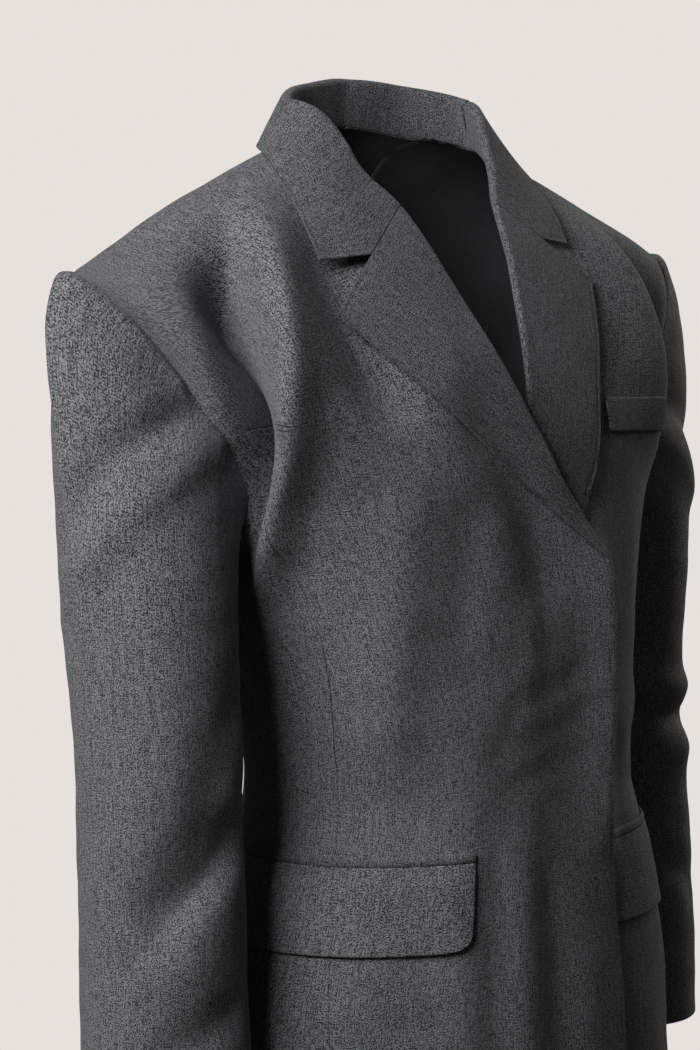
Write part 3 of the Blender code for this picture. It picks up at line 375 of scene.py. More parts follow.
def relief(points, angle, level, side):
    """How far the cloth is moved out: by its folds and a slow swell, by the folds of the chest alone, and by
    the overlap, which lifts the right front."""
    x, y, z = points[..., 0], points[..., 1], points[..., 2]
    _, _, side_y, _, _, _, sink = section(angle, level)
    behind = (y - side_y * sink) / FOLD_TURN
    move = SWELL * waves(x + 0.4 * y, z, 0.030, 1.0 + side)
    for sheet, line, left, right, height in BODY_FOLDS:
        if np.sign(line[0][0]) == side or abs(line[0][0]) < SHARED_FOLDS:
            move = move + ease(sheet * behind) * bell(x, z, np.array(line) / 1000, left, right, height)
    chest = np.zeros(x.shape)
    for fold_side, line, before, after, height in CHEST_FOLDS:
        if fold_side == side:
            line = [(CHEST_ARC * np.radians(turn), up / 1000) for turn, up in line]
            chest = chest + bell(CHEST_ARC * angle, level, line, before, after, height)
    wrap = WRAP_LIFT * ease((x - WRAP_X) / WRAP_X_SPAN) * ease((WRAP_Z - z) / WRAP_Z_SPAN)
    return move, chest, wrap * (np.sin(angle) < 0) * (side < 0)


def cloth(angle, level, side):
    """Point of the body's cloth: the form moved out by its relief."""
    points = form(angle, level, side)
    return points + normal(form, angle, level, side) * sum(relief(points, angle, level, side))[..., None]


def bridged(angle, level, side):
    """Point of the surface that lapels lie on: the cloth, with the chest's hollows spanned smoothly."""
    points = form(angle, level, side)
    move, chest, wrap = relief(points, angle, level, side)
    chest = (chest + np.hypot(chest, HOLLOW_SPAN)) / 2
    return points + normal(form, angle, level, side) * (move + chest + wrap)[..., None]


def laid(pairs, side, height=0.0):
    """Points and normals of a piece laid on the body's cloth, at a height over it."""
    normals = normal(cloth, pairs[..., 0], pairs[..., 1], side)
    return cloth(pairs[..., 0], pairs[..., 1], side) + normals * np.asarray(height)[..., None], normals


def locate(x, other, side, back=False):
    """Angle and level of the body's point at x and height z on the front, or at x and depth y on the back,
    by steps that each put the section's curve through x."""
    x, other = np.asarray(x, dtype=float), np.asarray(other, dtype=float)
    sheet = 1 if back else -1
    angle, level = np.full(x.shape, sheet * np.pi / 2), np.zeros(x.shape)
    for _ in range(40):
        centre, half, side_y, reach, square = section(angle, level)[:5]
        across = np.clip((x - centre) / (side * half), -0.99999, 0.99999)
        deep = (1 - np.abs(across) ** square) ** (1 / square)
        angle = sheet * np.arctan2(deep, across)
        power = dome(angle) / 2
        if back:
            turn, below = np.arccos(np.clip(other / (side_y + reach * deep), 0.0, 1.0) ** power), 0.0
        else:
            share = np.clip((other - BUST_Z) / (shoulder_z(x) - BUST_Z), 0.0, 1.0)
            turn, below = np.arcsin(share ** power), np.minimum(other - BUST_Z, 0.0)
        level = np.where(turn > 0, turn / (np.pi / 2) * RISE, below)
    return angle, level


def spot(point, side):
    """Angle and level of the point x, z on the front."""
    return np.array(locate(*point, side))


def spaced(side, knots, count):
    """count + 1 angle and level pairs at even steps of length along a smooth line through the knots."""
    knots = np.asarray(knots, dtype=float)
    number = np.arange(len(knots))
    t = np.linspace(0, len(knots) - 1, 40 * (len(knots) - 1) + 1)
    length = run_length(form(smooth(t, number, knots[:, 0]), smooth(t, number, knots[:, 1]), side))
    even = np.interp(np.linspace(0, length[-1], count + 1), length, t)
    return np.stack([smooth(even, number, knots[:, k]) for k in range(2)], axis=-1)


def seam_line(table, side, count):
    """Even steps along a seam given by angle in degrees and level."""
    return spaced(side, [(np.radians(angle), level) for angle, level in table], count)


def front_line(table, side, count):
    """Even steps along a line on the front, given by x and z."""
    return spaced(side, np.stack(locate(*np.transpose(table), side), axis=-1), count)


def join(*lines):
    """Lines end to end, with the shared points once."""
    return np.concatenate([lines[0]] + [line[1:] for line in lines[1:]])


def straight(start, end, count):
    """Even steps from one pair to another."""
    return start + (end - start) * np.linspace(0, 1, count + 1)[:, None]


def blend_patch(bottom, top, left, right):
    """Coons patch of angle and level between four lines: rows go from bottom to top."""
    v = np.linspace(0, 1, len(left))[:, None, None]
    u = np.linspace(0, 1, len(bottom))[None, :, None]
    across = (1 - u) * left[:, None] + u * right[:, None]
    upward = (1 - v) * bottom[None] + v * top[None]
    corners = (1 - v) * ((1 - u) * bottom[0] + u * bottom[-1]) + v * ((1 - u) * top[0] + u * top[-1])
    return across + upward - corners


CLOTH_PER_LEVEL = 1.04
SIDE_SHIFT = 0.37


def body_cloth(pairs, side):
    """Cloth coordinates on the body: the arc round the bust ring at an angle, and the length to a level."""
    turn = np.linspace(-np.pi, np.pi / 2, 300)
    arc = run_length(form(turn, np.zeros(300), side))
    across = side * np.interp(pairs[..., 0], turn, arc)
    return np.stack([across + SIDE_SHIFT * side, pairs[..., 1] * CLOTH_PER_LEVEL], axis=-1)


RIM_STEPS = 4
SEAM_LAP = 0.00004


def placed(name, data):
    """A new object with its data, put into the scene."""
    made = bpy.data.objects.new(name, data)
    bpy.context.scene.collection.objects.link(made)
    return made


def shell(name, points, normals, thickness, cloth_at, outside, inside=None):
    """Thin closed shell: the grid moved half a thickness out and in, joined by half-round rims. The border is
    first drawn in by half the thickness less a hair, so that the rims of two sewn pieces close their seam."""
    rows, columns = points.shape[:2]
    points = points.copy()
    index = np.arange(rows * columns).reshape(rows, columns)
    border = np.concatenate([index[0, :-1], index[:-1, -1], index[-1, :0:-1], index[:0:-1, 0]])
    flat, flat_normals = points.reshape(-1, 3), normals.reshape(-1, 3)
    edge = flat[border]
    away = np.cross(np.roll(edge, -1, axis=0) - np.roll(edge, 1, axis=0), flat_normals[border])
    r, c = border // columns, border % columns
    inner = index[np.clip(r, 1, rows - 2), np.clip(c, 1, columns - 2)]
    away = unit(away * np.sign(np.sum(away * (edge - flat[inner]), axis=1, keepdims=True)))
    flat[border] -= away * (thickness / 2 - SEAM_LAP)
    half = flat_normals * thickness / 2
    faces_out, faces_in = flat + half, flat - half
    bend = np.linspace(0, np.pi, RIM_STEPS + 1)[1:-1, None, None]
    rim = flat[border] + half[border] * np.cos(bend) + away * (thickness / 2) * np.sin(bend)
    vertices = np.concatenate([faces_out, faces_in, rim.reshape(-1, 3)])
    corners = (index[:-1, :-1], index[:-1, 1:], index[1:, 1:], index[1:, :-1])
    outer = np.stack(corners, axis=-1).reshape(-1, 4)
    first, second = flat[outer[:, 1]] - flat[outer[:, 0]], flat[outer[:, 3]] - flat[outer[:, 0]]
    forward = np.sum(np.cross(first, second) * flat_normals[outer[:, 0]]) > 0
    bent = 2 * rows * columns + np.arange(rim.shape[0] * rim.shape[1]).reshape(rim.shape[:2])
    rings = [border, *bent, border + rows * columns]
    sides = [
        np.stack([np.roll(a, -1), a, b, np.roll(b, -1)], axis=-1) for a, b in zip(rings[:-1], rings[1:])
    ]
    faces = np.concatenate([outer, outer[:, ::-1] + rows * columns] + sides)
    faces = faces if forward else faces[:, ::-1]
    mesh = bpy.data.meshes.new(name)
    mesh.vertices.add(len(vertices))
    mesh.vertices.foreach_set("co", vertices.ravel())
    mesh.loops.add(faces.size)
    mesh.loops.foreach_set("vertex_index", np.ascontiguousarray(faces, dtype=np.int32).ravel())
    mesh.polygons.add(len(faces))
    mesh.polygons.foreach_set("loop_start", np.arange(0, faces.size, 4, dtype=np.int32))
    mesh.update(calc_edges=True)
    mesh.polygons.foreach_set("use_smooth", np.ones(len(faces), dtype=bool))
    at = cloth_at.reshape(-1, 2)
    at = np.concatenate([at, at + 0.5] + [at[border]] * (RIM_STEPS - 1))
    layer = mesh.uv_layers.new(name="cloth")
    layer.data.foreach_set("uv", at[faces.ravel()].astype(np.float32).ravel())
    mesh.materials.append(outside)
    if inside is not None:
        mesh.materials.append(inside)
        under = np.zeros(len(faces), dtype=np.int32)
        under[len(outer):2 * len(outer)] = 1
        mesh.polygons.foreach_set("material_index", under)
    piece = placed(name, mesh)
    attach(piece, "root")
    return piece


def sewn(piece, node_name, slot, **cut):
    """Hides the solid that a piece of cloth stands for; the piece, its material slot and the flat size of its
    cut are not used.
    """
    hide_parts(node_name)


SEAM_ROWS = 110
ARMHOLE_ROWS = 60
EDGE_ROWS = 62
ROLL_ROWS = 72
NECK_ROWS = 36
FRONT_COLUMNS = 104
FRONT_SEAM = (
    (-40, -0.550), (-33, -0.360), (-27.5, -0.270), (-26.8, -0.205), (-28.8, -0.155), (-29.6, -0.115),
    (-28.0, -0.072), (-26.6, -0.040), (-27.6, -0.010), (-27.5, 0.014), (-23.5, 0.026), (-17, 0.030),
)
ARMHOLE_FRONT = ((0, 0.24), (-4.5, 0.20), (-9, 0.14), (-12.5, 0.08), (-17, 0.03))
RIGHT_EDGE = (
    (0.076, -0.780), (0.071, -0.650), (0.065, -0.520), (0.062, -0.440), (0.067, -0.385), (0.0705, -0.356),
)
LEFT_EDGE = ((-0.035, -0.780), (-0.035, -0.520), (-0.035, -0.440), (-0.033, -0.370), (-0.028, -0.315))
RIGHT_ROLL = (
    (0.0705, -0.356), (0.0706, -0.334), (0.0695, -0.317), (0.0662, -0.303), (0.0598, -0.291),
    (0.0484, -0.272), (0.0312, -0.2446), (0.0176, -0.2209), (0.0030, -0.1928), (-0.0163, -0.1469),
    (-0.0290, -0.101), (-0.0440, -0.050),
)
LEFT_ROLL = ((-0.028, -0.315), (-0.004, -0.260), (0.018, -0.190), (0.034, -0.120), (0.053, -0.050))
RIGHT_NECK = ((-0.044, -0.050), (-0.070, -0.026), (-0.090, 0.0))
LEFT_NECK = ((0.053, -0.050), (0.073, -0.026), (0.090, 0.0))
SHELL = 0.0014
PRESSED_AT, PRESSED_DEPTH, PRESSED_WIDTH = 0.0030, 0.0003, 0.0008
EDGE_STEPS = np.array([0.0, 0.9, 1.8, 2.7, 3.6, 4.8, 6.4, 8.6, 11.4]) / 1000
FRONT_WIDTH = 0.20


def fine_steps(fine, between, ends=2):
    """Positions from 0 to 1: fine steps at the first end, even steps, and the fine steps again at the last
    end where there are two."""
    last = 1 - fine[::-1] if ends == 2 else np.array([1.0])
    return np.concatenate([fine[:-1], np.linspace(fine[-1], last[0], between), last[1:]])


def edge_fine(count, width):
    """Positions from 0 to 1 across a piece, with 0.9 mm steps beside both edges and even steps between."""
    return fine_steps(EDGE_STEPS / width, count - 2 * len(EDGE_STEPS) + 3)


def resample(pairs, steps):
    """A patch's columns taken at other positions from 0 to 1."""
    at = steps * (pairs.shape[1] - 1)
    low = np.clip(at.astype(int), 0, pairs.shape[1] - 2)
    share = (at - low)[None, :, None]
    return pairs[:, low] * (1 - share) + pairs[:, low + 1] * share


def front_lines(side):
    """Outer and inner boundary of a front panel, from the hem to the shoulder seam."""
    edge, roll, neck = (RIGHT_EDGE, RIGHT_ROLL, RIGHT_NECK) if side < 0 else (LEFT_EDGE, LEFT_ROLL, LEFT_NECK)
    outer = join(
        seam_line(FRONT_SEAM, side, SEAM_ROWS), seam_line(ARMHOLE_FRONT, side, ARMHOLE_ROWS)[::-1],
    )
    inner = join(
        front_line(edge, side, EDGE_ROWS), front_line(roll, side, ROLL_ROWS),
        front_line(neck, side, NECK_ROWS),
    )
    return outer, inner


def row_length(points):
    """Length along each row of a grid from its last column."""
    return run_length(points[:, ::-1].swapaxes(0, 1)).swapaxes(0, 1)[:, ::-1]


def front(side, name):
    """A forepiece: a patch of the body between its boundary lines, with a pressed line, a narrow bell, beside
    the front edge. Its cloth coordinates follow the folds along each row."""
    outer, inner = front_lines(side)
    bottom = straight(outer[0], inner[0], FRONT_COLUMNS)
    top = straight(outer[-1], inner[-1], FRONT_COLUMNS)
    pairs = resample(blend_patch(bottom, top, outer, inner), edge_fine(FRONT_COLUMNS, FRONT_WIDTH))
    points, normals = laid(pairs, side)
    edge = np.linspace(0, 1, len(points))[:, None] < EDGE_ROWS / (len(points) - 1)
    pressed = PRESSED_DEPTH * np.exp(-((row_length(points) - PRESSED_AT) / PRESSED_WIDTH) ** 2)
    points = points - normals * (pressed * edge)[..., None]
    cloth_at = body_cloth(pairs, side)
    cloth_at[..., 0] += side * (row_length(points) - row_length(form(pairs[..., 0], pairs[..., 1], side)))
    return shell(name, points, normals, SHELL, cloth_at, body_wool, lining)


lining = wool("lining", (0.030, 0.030, 0.034), (0.120, 0.122, 0.132), sheen=0.1, slubs=0.25, grain=0.2)
for side, word, width, area, under in (
    (-1, "right", 0.30, 0.200, ["left_front_cloth", "right_back_cloth"]),
    (1, "left", 0.27, 0.176, ["left_back_cloth"]),
):
    sewn(
        front(side, word + "_front_cloth"), word + "_front", "wool", flat=(width, 0.84), area=area,
        held="hung", rests_on=under,
    )


# ---- Front button ----------------------------------------------------------------------------------------
# The hidden fastening: a flat turned horn button sewn to the left front. The right front lies over it.

BUTTON_AT = (0.030, -0.430)
BUTTON = (
    (0.0078, 0.0017), (0.0086, 0.0020), (0.0090, 0.0027), (0.0087, 0.0036), (0.0080, 0.0040),
    (0.0062, 0.0037),
)


def ring_mesh(name, points, capped):
    """Smooth mesh of a grid whose rows are closed rings, with a face over each end ring where capped."""
    index = np.arange(points[..., 0].size).reshape(points.shape[:2])
    after = np.roll(index, -1, axis=1)
    faces = np.stack([index[:-1], after[:-1], after[1:], index[1:]], axis=-1).reshape(-1, 4).tolist()
    if capped:
        faces += [index[0, ::-1].tolist(), index[-1].tolist()]
    mesh = bpy.data.meshes.new(name)
    mesh.from_pydata(points.reshape(-1, 3).tolist(), [], faces)
    mesh.shade_smooth()
    return mesh


def front_button():
    """A turned disc on the left front: its profile of radius and height turned round the cloth's normal, at
    base + radius * (side * cos(turn) + up * sin(turn)) + height * out."""
    base, out = laid(spot(BUTTON_AT, 1), 1)
    side = unit(np.cross(out, (0.0, 0.0, 1.0)))
    up = np.cross(out, side)
    turn = np.linspace(0, 2 * np.pi, 48, endpoint=False)[None, :, None]
    profile = np.array(BUTTON)[:, None, :]
    points = base + profile[..., :1] * (side * np.cos(turn) + up * np.sin(turn)) + profile[..., 1:] * out
    piece = placed("button", ring_mesh("button", points, capped=True))
    piece.data.materials.append(horn())
    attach(piece, "root")
    return piece


def horn():
    """Dark polished horn: brown streaks by a stretched noise under a smooth surface."""
    material, tree, shader = blank("horn")
    streaks = stretched_noise(tree, node(tree, "ShaderNodeTexCoord").outputs["Object"], 0.0008, 0.006, 3.0)
    ramp = node(tree, "ShaderNodeValToRGB", in_0=streaks)
    ramp.color_ramp.elements[0].color = (0.012, 0.009, 0.008, 1.0)
    ramp.color_ramp.elements[1].color = (0.050, 0.038, 0.030, 1.0)
    feed(tree, shader, in_Base_Color=ramp.outputs[0], in_Roughness=0.35)
    return material


button = front_button()
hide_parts("front_button")


# ---- Side panels and backs -------------------------------------------------------------------------------
# Side bodies under the arms and a two-piece back with a centre seam, worsted with no canvas. They are sewn
# with plain pressed seams and turned up at the hem.

SIDE_COLUMNS = 40
SIDE_WIDTH = 0.13
BACK_SHOULDER_COLUMNS = 42
BACK_NECK_COLUMNS = 28
BACK_SEAM = ((38, -0.55), (39, -0.37), (40, -0.24), (38, -0.12), (35, -0.03), (34, 0.03))
ARMHOLE_BOTTOM = ((-17, 0.03), (-13, -0.03), (3, -0.055), (20, -0.03), (34, 0.03))
ARMHOLE_BACK = ((34, 0.03), (33, 0.08), (26, 0.14), (14, 0.20), (0, 0.24))
NECKLINE_BACK = ((0.090, 0.0), (0.078, 0.018), (0.045, 0.034), (0.0, 0.040))


def back_line(table, side):
    """Even steps along a line by the back neck, given by x and y on the left half, mirrored to the right."""
    x, y = np.transpose(table)
    return spaced(side, np.stack(locate(side * x, y, side, back=True), axis=-1), BACK_NECK_COLUMNS)


def body_piece(name, pairs, side):
    """A plain piece of the body, laid at its pairs of angle and level."""
    return shell(name, *laid(pairs, side), SHELL, body_cloth(pairs, side), body_wool, lining)


def side_body(side, name):
    """A side panel: the patch between the princess seam and the back seam, up to the armhole's bottom."""
    left = seam_line(FRONT_SEAM, side, SEAM_ROWS)
    right = seam_line(BACK_SEAM, side, SEAM_ROWS)
    top = seam_line(ARMHOLE_BOTTOM, side, SIDE_COLUMNS)
    pairs = blend_patch(straight(left[0], right[0], SIDE_COLUMNS), top, left, right)
    return body_piece(name, resample(pairs, edge_fine(SIDE_COLUMNS, SIDE_WIDTH)), side)


def back(side, name):
    """Half of the back: the patch from the back seam and armhole to the centre seam, up to the neck."""
    outer = join(seam_line(BACK_SEAM, side, SEAM_ROWS), seam_line(ARMHOLE_BACK, side, ARMHOLE_ROWS))
    neck = back_line(NECKLINE_BACK, side)
    top = join(straight(outer[-1], neck[0], BACK_SHOULDER_COLUMNS), neck)
    count = BACK_SHOULDER_COLUMNS + BACK_NECK_COLUMNS
    inner = straight(np.array([np.pi / 2, outer[0, 1]]), neck[-1], SEAM_ROWS + ARMHOLE_ROWS)
    return body_piece(name, blend_patch(straight(outer[0], inner[0], count), top, outer, inner), side)


for side, word, area in ((-1, "right", 0.095), (1, "left", 0.092)):
    sewn(
        side_body(side, word + "_side_cloth"), word + "_side_panel", "wool", flat=(0.19, 0.60), area=area,
        held="hung", rests_on=[word + "_front_cloth", word + "_back_cloth"],
    )
for side, word in SIDES:
    sewn(
        back(side, word + "_back_cloth"), word + "_back", "wool", flat=(0.22, 0.83), area=0.145, held="hung",
        rests_on=[word + "_front_cloth", "collar_cloth"],
    )


# ---- Sleeves ---------------------------------------------------------------------------------------------
# Two-piece sleeves with roped heads: a wide upper sleeve and a narrow under sleeve, with plain open cuffs.
# They hang a little in front of the body and break in soft folds below the armhole and at the elbow.

SLEEVE_COLUMNS = ("z", "out_x", "y", "side_radius", "front_radius")
RIGHT_SLEEVE = (
    (-0.700, 0.254, -0.075, 0.060, 0.059),
    (-0.600, 0.250, -0.066, 0.058, 0.058),
    (-0.500, 0.246, -0.058, 0.057, 0.058),
    (-0.400, 0.243, -0.050, 0.057, 0.061),
    (-0.330, 0.243, -0.041, 0.059, 0.064),
)
LEFT_SLEEVE = (
    (-0.700, 0.268, 0.010, 0.057, 0.057),
    (-0.600, 0.264, 0.012, 0.058, 0.058),
    (-0.500, 0.259, 0.017, 0.058, 0.059),
    (-0.400, 0.250, 0.015, 0.058, 0.061),
    (-0.330, 0.246, 0.008, 0.059, 0.063),
)
HEAD_ROWS = 70
TUBE_ROWS = 120
AROUND = 150
UNDER_CELLS = 52
SLEEVE_ARC = 0.06
FRONT_SEAM_TURN, BACK_SEAM_TURN = 165, 236
# how a sleeve leaves the armhole: its fall and flare, and its pull, more at the back, at the head's two ends
HEAD_FALL, HEAD_FLARE, HEAD_PULL, BACK_PULL, HEAD_REACH = -0.36, 0.5, 0.62, 0.35, 0.95
HEAD_LENGTH, HEAD_PACE = 0.13, 1.25
SEWN_ROWS = 9
ROPE_HEIGHT, ROPE_AT, ROPE_WIDTH = 0.0022, 0.010, 0.008
# side, the fold's line in degrees round the arm and z, its widths to both sides, and its height, in mm
SLEEVE_FOLDS = (
    (-1, ((95, -180), (60, -196), (38, -209), (14, -238), (-4, -278)), 11, 13, -6.2),
    (-1, ((120, -198), (77, -222), (28, -262), (-8, -312)), 13, 17, 4.8),
    (-1, ((130, -360), (104, -410), (84, -450), (70, -490)), 20, 24, -4.2),
    (-1, ((132, -466), (102, -488), (77, -507), (50, -531), (30, -550)), 16, 32, -13),
    (-1, ((128, -590), (92, -600), (62, -620), (36, -650)), 16, 22, -5.5),
    (-1, ((250, -300), (215, -345), (185, -420)), 14, 18, -4.5),
    (-1, ((245, -420), (205, -460), (180, -520)), 14, 16, 4),
    (-1, ((300, -230), (285, -290), (262, -360)), 16, 18, -4),
    (1, ((30, -458), (80, -452), (140, -438)), 8, 10, -6.5),
    (1, ((25, -432), (80, -428), (140, -412)), 12, 11, 4.5),
    (1, ((35, -484), (80, -478), (135, -470)), 11, 14, 4),
    (1, ((95, -190), (50, -215), (12, -262)), 12, 14, -5),
    (1, ((110, -222), (66, -246), (20, -292)), 13, 16, 4.2),
    (1, ((120, -560), (80, -575), (40, -604)), 14, 16, -3.2),
    (1, ((250, -310), (215, -350), (185, -430)), 14, 18, -4.5),
    (1, ((300, -230), (285, -290), (262, -360)), 16, 18, -4),
)


def sleeve_grid(side):
    """Points, normals and turns of a sleeve: cubic curves from the armhole to a ring, then rings down to the
    cuff. A row is a closed ring that starts at the shoulder and goes down the front of the armhole."""
    table = RIGHT_SLEEVE if side < 0 else LEFT_SLEEVE
    cells = (AROUND - UNDER_CELLS) // 2
    line = join(
        seam_line(ARMHOLE_FRONT, side, cells), seam_line(ARMHOLE_BOTTOM, side, UNDER_CELLS),
        seam_line(ARMHOLE_BACK, side, cells),
    )[:-1]
    start = cloth(line[:, 0], line[:, 1], side)
    out = unit(np.array([side, 0.0, HEAD_FALL]))
    radial = start - start.mean(axis=0)
    radial = unit(radial - (radial @ out)[:, None] * out)
    leave = unit(out + HEAD_FLARE * radial)
    length = run_length(start)
    turn = 2 * np.pi * length / (length[-1] + np.linalg.norm(start[-1] - start[0]))
    heights = column(table, SLEEVE_COLUMNS, "z")

    def ring(z):
        """Points at height z (rows) and each turn (columns), from the table's centre and radii."""
        z = z[:, None]
        out_x, y, side_radius, front_radius = (
            smooth(z, heights, column(table, SLEEVE_COLUMNS, name)) for name in SLEEVE_COLUMNS[1:]
        )
        x = side * (out_x + side_radius * np.cos(turn))
        return np.stack(np.broadcast_arrays(x, y - front_radius * np.sin(turn), z), axis=-1)

    end = ring(heights[-1:])[0]
    chord = np.linalg.norm(end - start, axis=1)[:, None]
    t = np.linspace(0, 1, HEAD_ROWS + 1)[:, None, None] ** HEAD_PACE
    pull = HEAD_PULL * (1 + BACK_PULL * radial[:, 1:2])
    head = cubic(t, start, leave * chord * pull, end, np.array([0.0, 0.0, -1.0]) * chord * HEAD_REACH)
    points = np.concatenate([head, ring(np.linspace(heights[-1], heights[0], TUBE_ROWS + 1))[1:]])
    rope = ROPE_HEIGHT * np.exp(-((t[:, 0] * HEAD_LENGTH - ROPE_AT) / ROPE_WIDTH) ** 2)
    move = sleeve_folds(points, turn, side)
    move[:HEAD_ROWS + 1] += rope * ease((radial[:, 2] + 0.2) / 0.6)
    move = move * ease(np.arange(len(points)) / SEWN_ROWS)[:, None]
    points = points + tube_normals(points) * move[..., None]
    return points, tube_normals(points), turn


def tube_normals(points):
    """Outward normals of a closed tube of rows and columns, from steps along and around it."""
    around = np.roll(points, -1, axis=1) - np.roll(points, 1, axis=1)
    normals = unit(np.cross(np.gradient(points, axis=0), around))
    outward = points - points.mean(axis=1, keepdims=True)
    return normals * np.sign(np.sum(normals * outward, axis=-1).mean())


def sleeve_folds(points, turn, side):
    """Sum of a sleeve's folds and slow swell, over the arc round the arm and the height."""
    arc = SLEEVE_ARC * np.broadcast_to(turn, points.shape[:2])
    total = SWELL * waves(arc, points[..., 2], 0.026, 4.0 + side)
    for fold_side, line, left, right, height in SLEEVE_FOLDS:
        if fold_side == side:
            line = [(SLEEVE_ARC * np.radians(bearing), z / 1000) for bearing, z in line]
            for lap in (-2 * np.pi * SLEEVE_ARC, 0.0):
                total = total + bell(arc + lap, points[..., 2], line, left, right, height)
    return total


def sleeve_part(side, grid, first, last, name):
    """The columns of a sleeve's grid between two turns in degrees, as one shell."""
    points, normals, turn = grid
    degrees = np.degrees(turn)
    start = np.searchsorted(degrees, first)
    stop = np.searchsorted(degrees, last % 360) + (AROUND if last > 360 else 0)
    pick = np.arange(start, stop + 1)
    wrap = pick % AROUND
    across = SLEEVE_ARC * (turn[wrap] + 2 * np.pi * (pick // AROUND))
    along = run_length(points).mean(axis=1)[:, None]
    cloth_at = np.stack(np.broadcast_arrays(across[None] + 1.1 + side, -along), axis=-1)
    return shell(name, points[:, wrap], normals[:, wrap], SHELL, cloth_at, body_wool, lining)


for side, word in SIDES:
    grid = sleeve_grid(side)
    sewn(
        sleeve_part(side, grid, BACK_SEAM_TURN, FRONT_SEAM_TURN + 360, word + "_upper_sleeve_cloth"),
        word + "_upper_sleeve", "sleeve_wool", flat=(0.34, 0.63), area=0.172, held="hung",
        rests_on=[word + "_front_cloth"],
    )
    sewn(
        sleeve_part(side, grid, FRONT_SEAM_TURN, BACK_SEAM_TURN, word + "_under_sleeve_cloth"),
        word + "_under_sleeve", "sleeve_wool", flat=(0.085, 0.48), area=0.034, held="hung",
        rests_on=[word + "_side_cloth"],
    )


# ---- Lapels ----------------------------------------------------------------------------------------------
# Notch lapels: front cloth and facing sewn along the outer edge and turned over a soft roll line. The cloth's
# streaks run along the outer edge, and a pressed seam shows as a faint line beside it.

ROLL_CELLS = 12
FACED = 0.0016
RIGHT_NOTCH = (-0.084, -0.082)
LEFT_NOTCH = (0.082, -0.075)
RIGHT_LAPEL_EDGE = (
    (0.0690, -0.356), (0.0684, -0.3334), (0.0664, -0.3147), (0.0606, -0.2999), (0.0489, -0.2861),
    (0.0320, -0.2707), (0.0112, -0.2510), (-0.0103, -0.2310), (-0.0366, -0.2115), (-0.0687, -0.1816),
    (-0.0977, -0.1495), (-0.1280, -0.1200),
)
LEFT_LAPEL_EDGE = (
    (-0.020, -0.320), (0.025, -0.300), (0.050, -0.275), (0.072, -0.235), (0.086, -0.190), (0.100, -0.150),
    (0.117, -0.105),
)
# radius of the roll, height over the chest and stand of a lapel at the gorge
LAPEL_ROLL, LAPEL_REST, LAPEL_STAND = 0.0026, 0.0045, 0.0010
# change of the roll and of the rest down each lapel: how much, and its start and span as shares of the length
RIGHT_LAPEL_LAY = ((-0.0014, 0.60, 0.32), (-0.0021, 0.60, 0.36))
LEFT_LAPEL_LAY = ((-0.0009, 0.20, 0.30), (-0.0014, 0.50, 0.25))
BREAK_FROM, BREAK_SPAN, BREAK_ROLL, BREAK_STAND = 0.68, 0.19, 0.0003, 0.0007
RIGHT_LAPEL_END = 0.845
FALL = np.concatenate([
    np.linspace(0, 0.5, 17), np.linspace(0.5, 0.84, 12)[1:],
    [0.87, 0.895, 0.915, 0.93, 0.942, 0.952, 0.961, 0.970, 0.979, 0.9895, 1.0],
])
NOTCH_AT = 16
STAND_CELLS = 3
NECK_POINT_OUT = np.array([0.27, 0.0, 0.96])
PRESS_AT, PRESS_DEPTH, PRESS_WIDTH = 0.0036, 0.00035, 0.0010
LAPEL_COLUMNS = 64
LAPEL_LENGTH = 0.30
END_STEPS = np.array([0.0, 0.9, 1.8, 2.7, 3.6, 4.5, 5.6, 7.0, 9.0, 11.6]) / 1000


def neck_frame(side):
    """Roll line, front neck and back neck: points, the body's normals, the direction into the opening square
    to both, and the angle and level of each."""
    inner = front_lines(side)[1][EDGE_ROWS:]
    pairs = join(inner, back_line(NECKLINE_BACK, side))
    points, normals = laid(pairs, side)
    normals[len(inner) - 1] = unit(NECK_POINT_OUT * (side, 1, 1))
    normals[-1] = unit(normals[-1] * (0.0, 1.0, 1.0))
    along = unit(np.gradient(points, axis=0))
    along[-1] = (-side, 0.0, 0.0)
    across = unit(np.cross(normals, along))
    inwards = (np.array([0.0, -0.01, 0.0]) - points) * (1.0, 1.0, 0.3)
    return points, normals, across * np.sign(np.sum(across * inwards, axis=1, keepdims=True)), pairs


def turned(side, pairs, start, out, across, stands, rolls, rests, leans):
    """Cloth turned over an edge: each row leaves the edge at its lean, rises by its stand, goes round a
    circle of its roll radius to the line that touches the circle and aims at the fall's middle, and lies over
    the body's points at its rest height. Returns points and the circle's inner direction."""
    stands, rolls, rests, leans = (value[:, None] for value in (stands, rolls, rests, leans))
    leave = np.cos(leans) * across + np.sin(leans) * out
    face = np.sin(leans) * across - np.cos(leans) * out
    centre = start + stands * leave - rolls * face
    under = bridged(pairs[..., 0], pairs[..., 1], side)
    lift = normal(bridged, pairs[..., 0], pairs[..., 1], side)
    target = under[:, NOTCH_AT] + lift[:, NOTCH_AT] * rests - centre
    on_face, on_leave = np.sum(target * face, axis=1), np.sum(target * leave, axis=1)
    bearing = np.mod(np.arctan2(on_leave, on_face), 2 * np.pi)
    last = bearing - np.arccos(np.clip(rolls[:, 0] / np.hypot(on_face, on_leave), -1, 1))
    turn = np.linspace(0, 1, ROLL_CELLS + 1)[None, :, None] * last[:, None, None]
    arc = centre[:, None] + rolls[:, None] * (np.cos(turn) * face[:, None] + np.sin(turn) * leave[:, None])
    rest = under + lift * rests[:, None]
    fall = rest + (arc[:, -1:] - rest[:, :1]) * (1 - FALL[None, :, None])
    rise = np.linspace(0, 1, STAND_CELLS + 1)[None, :-1, None]
    stand = start[:, None] + (arc[:, :1] - start[:, None]) * rise
    return np.concatenate([stand, arc, fall[:, 1:]], axis=1), face


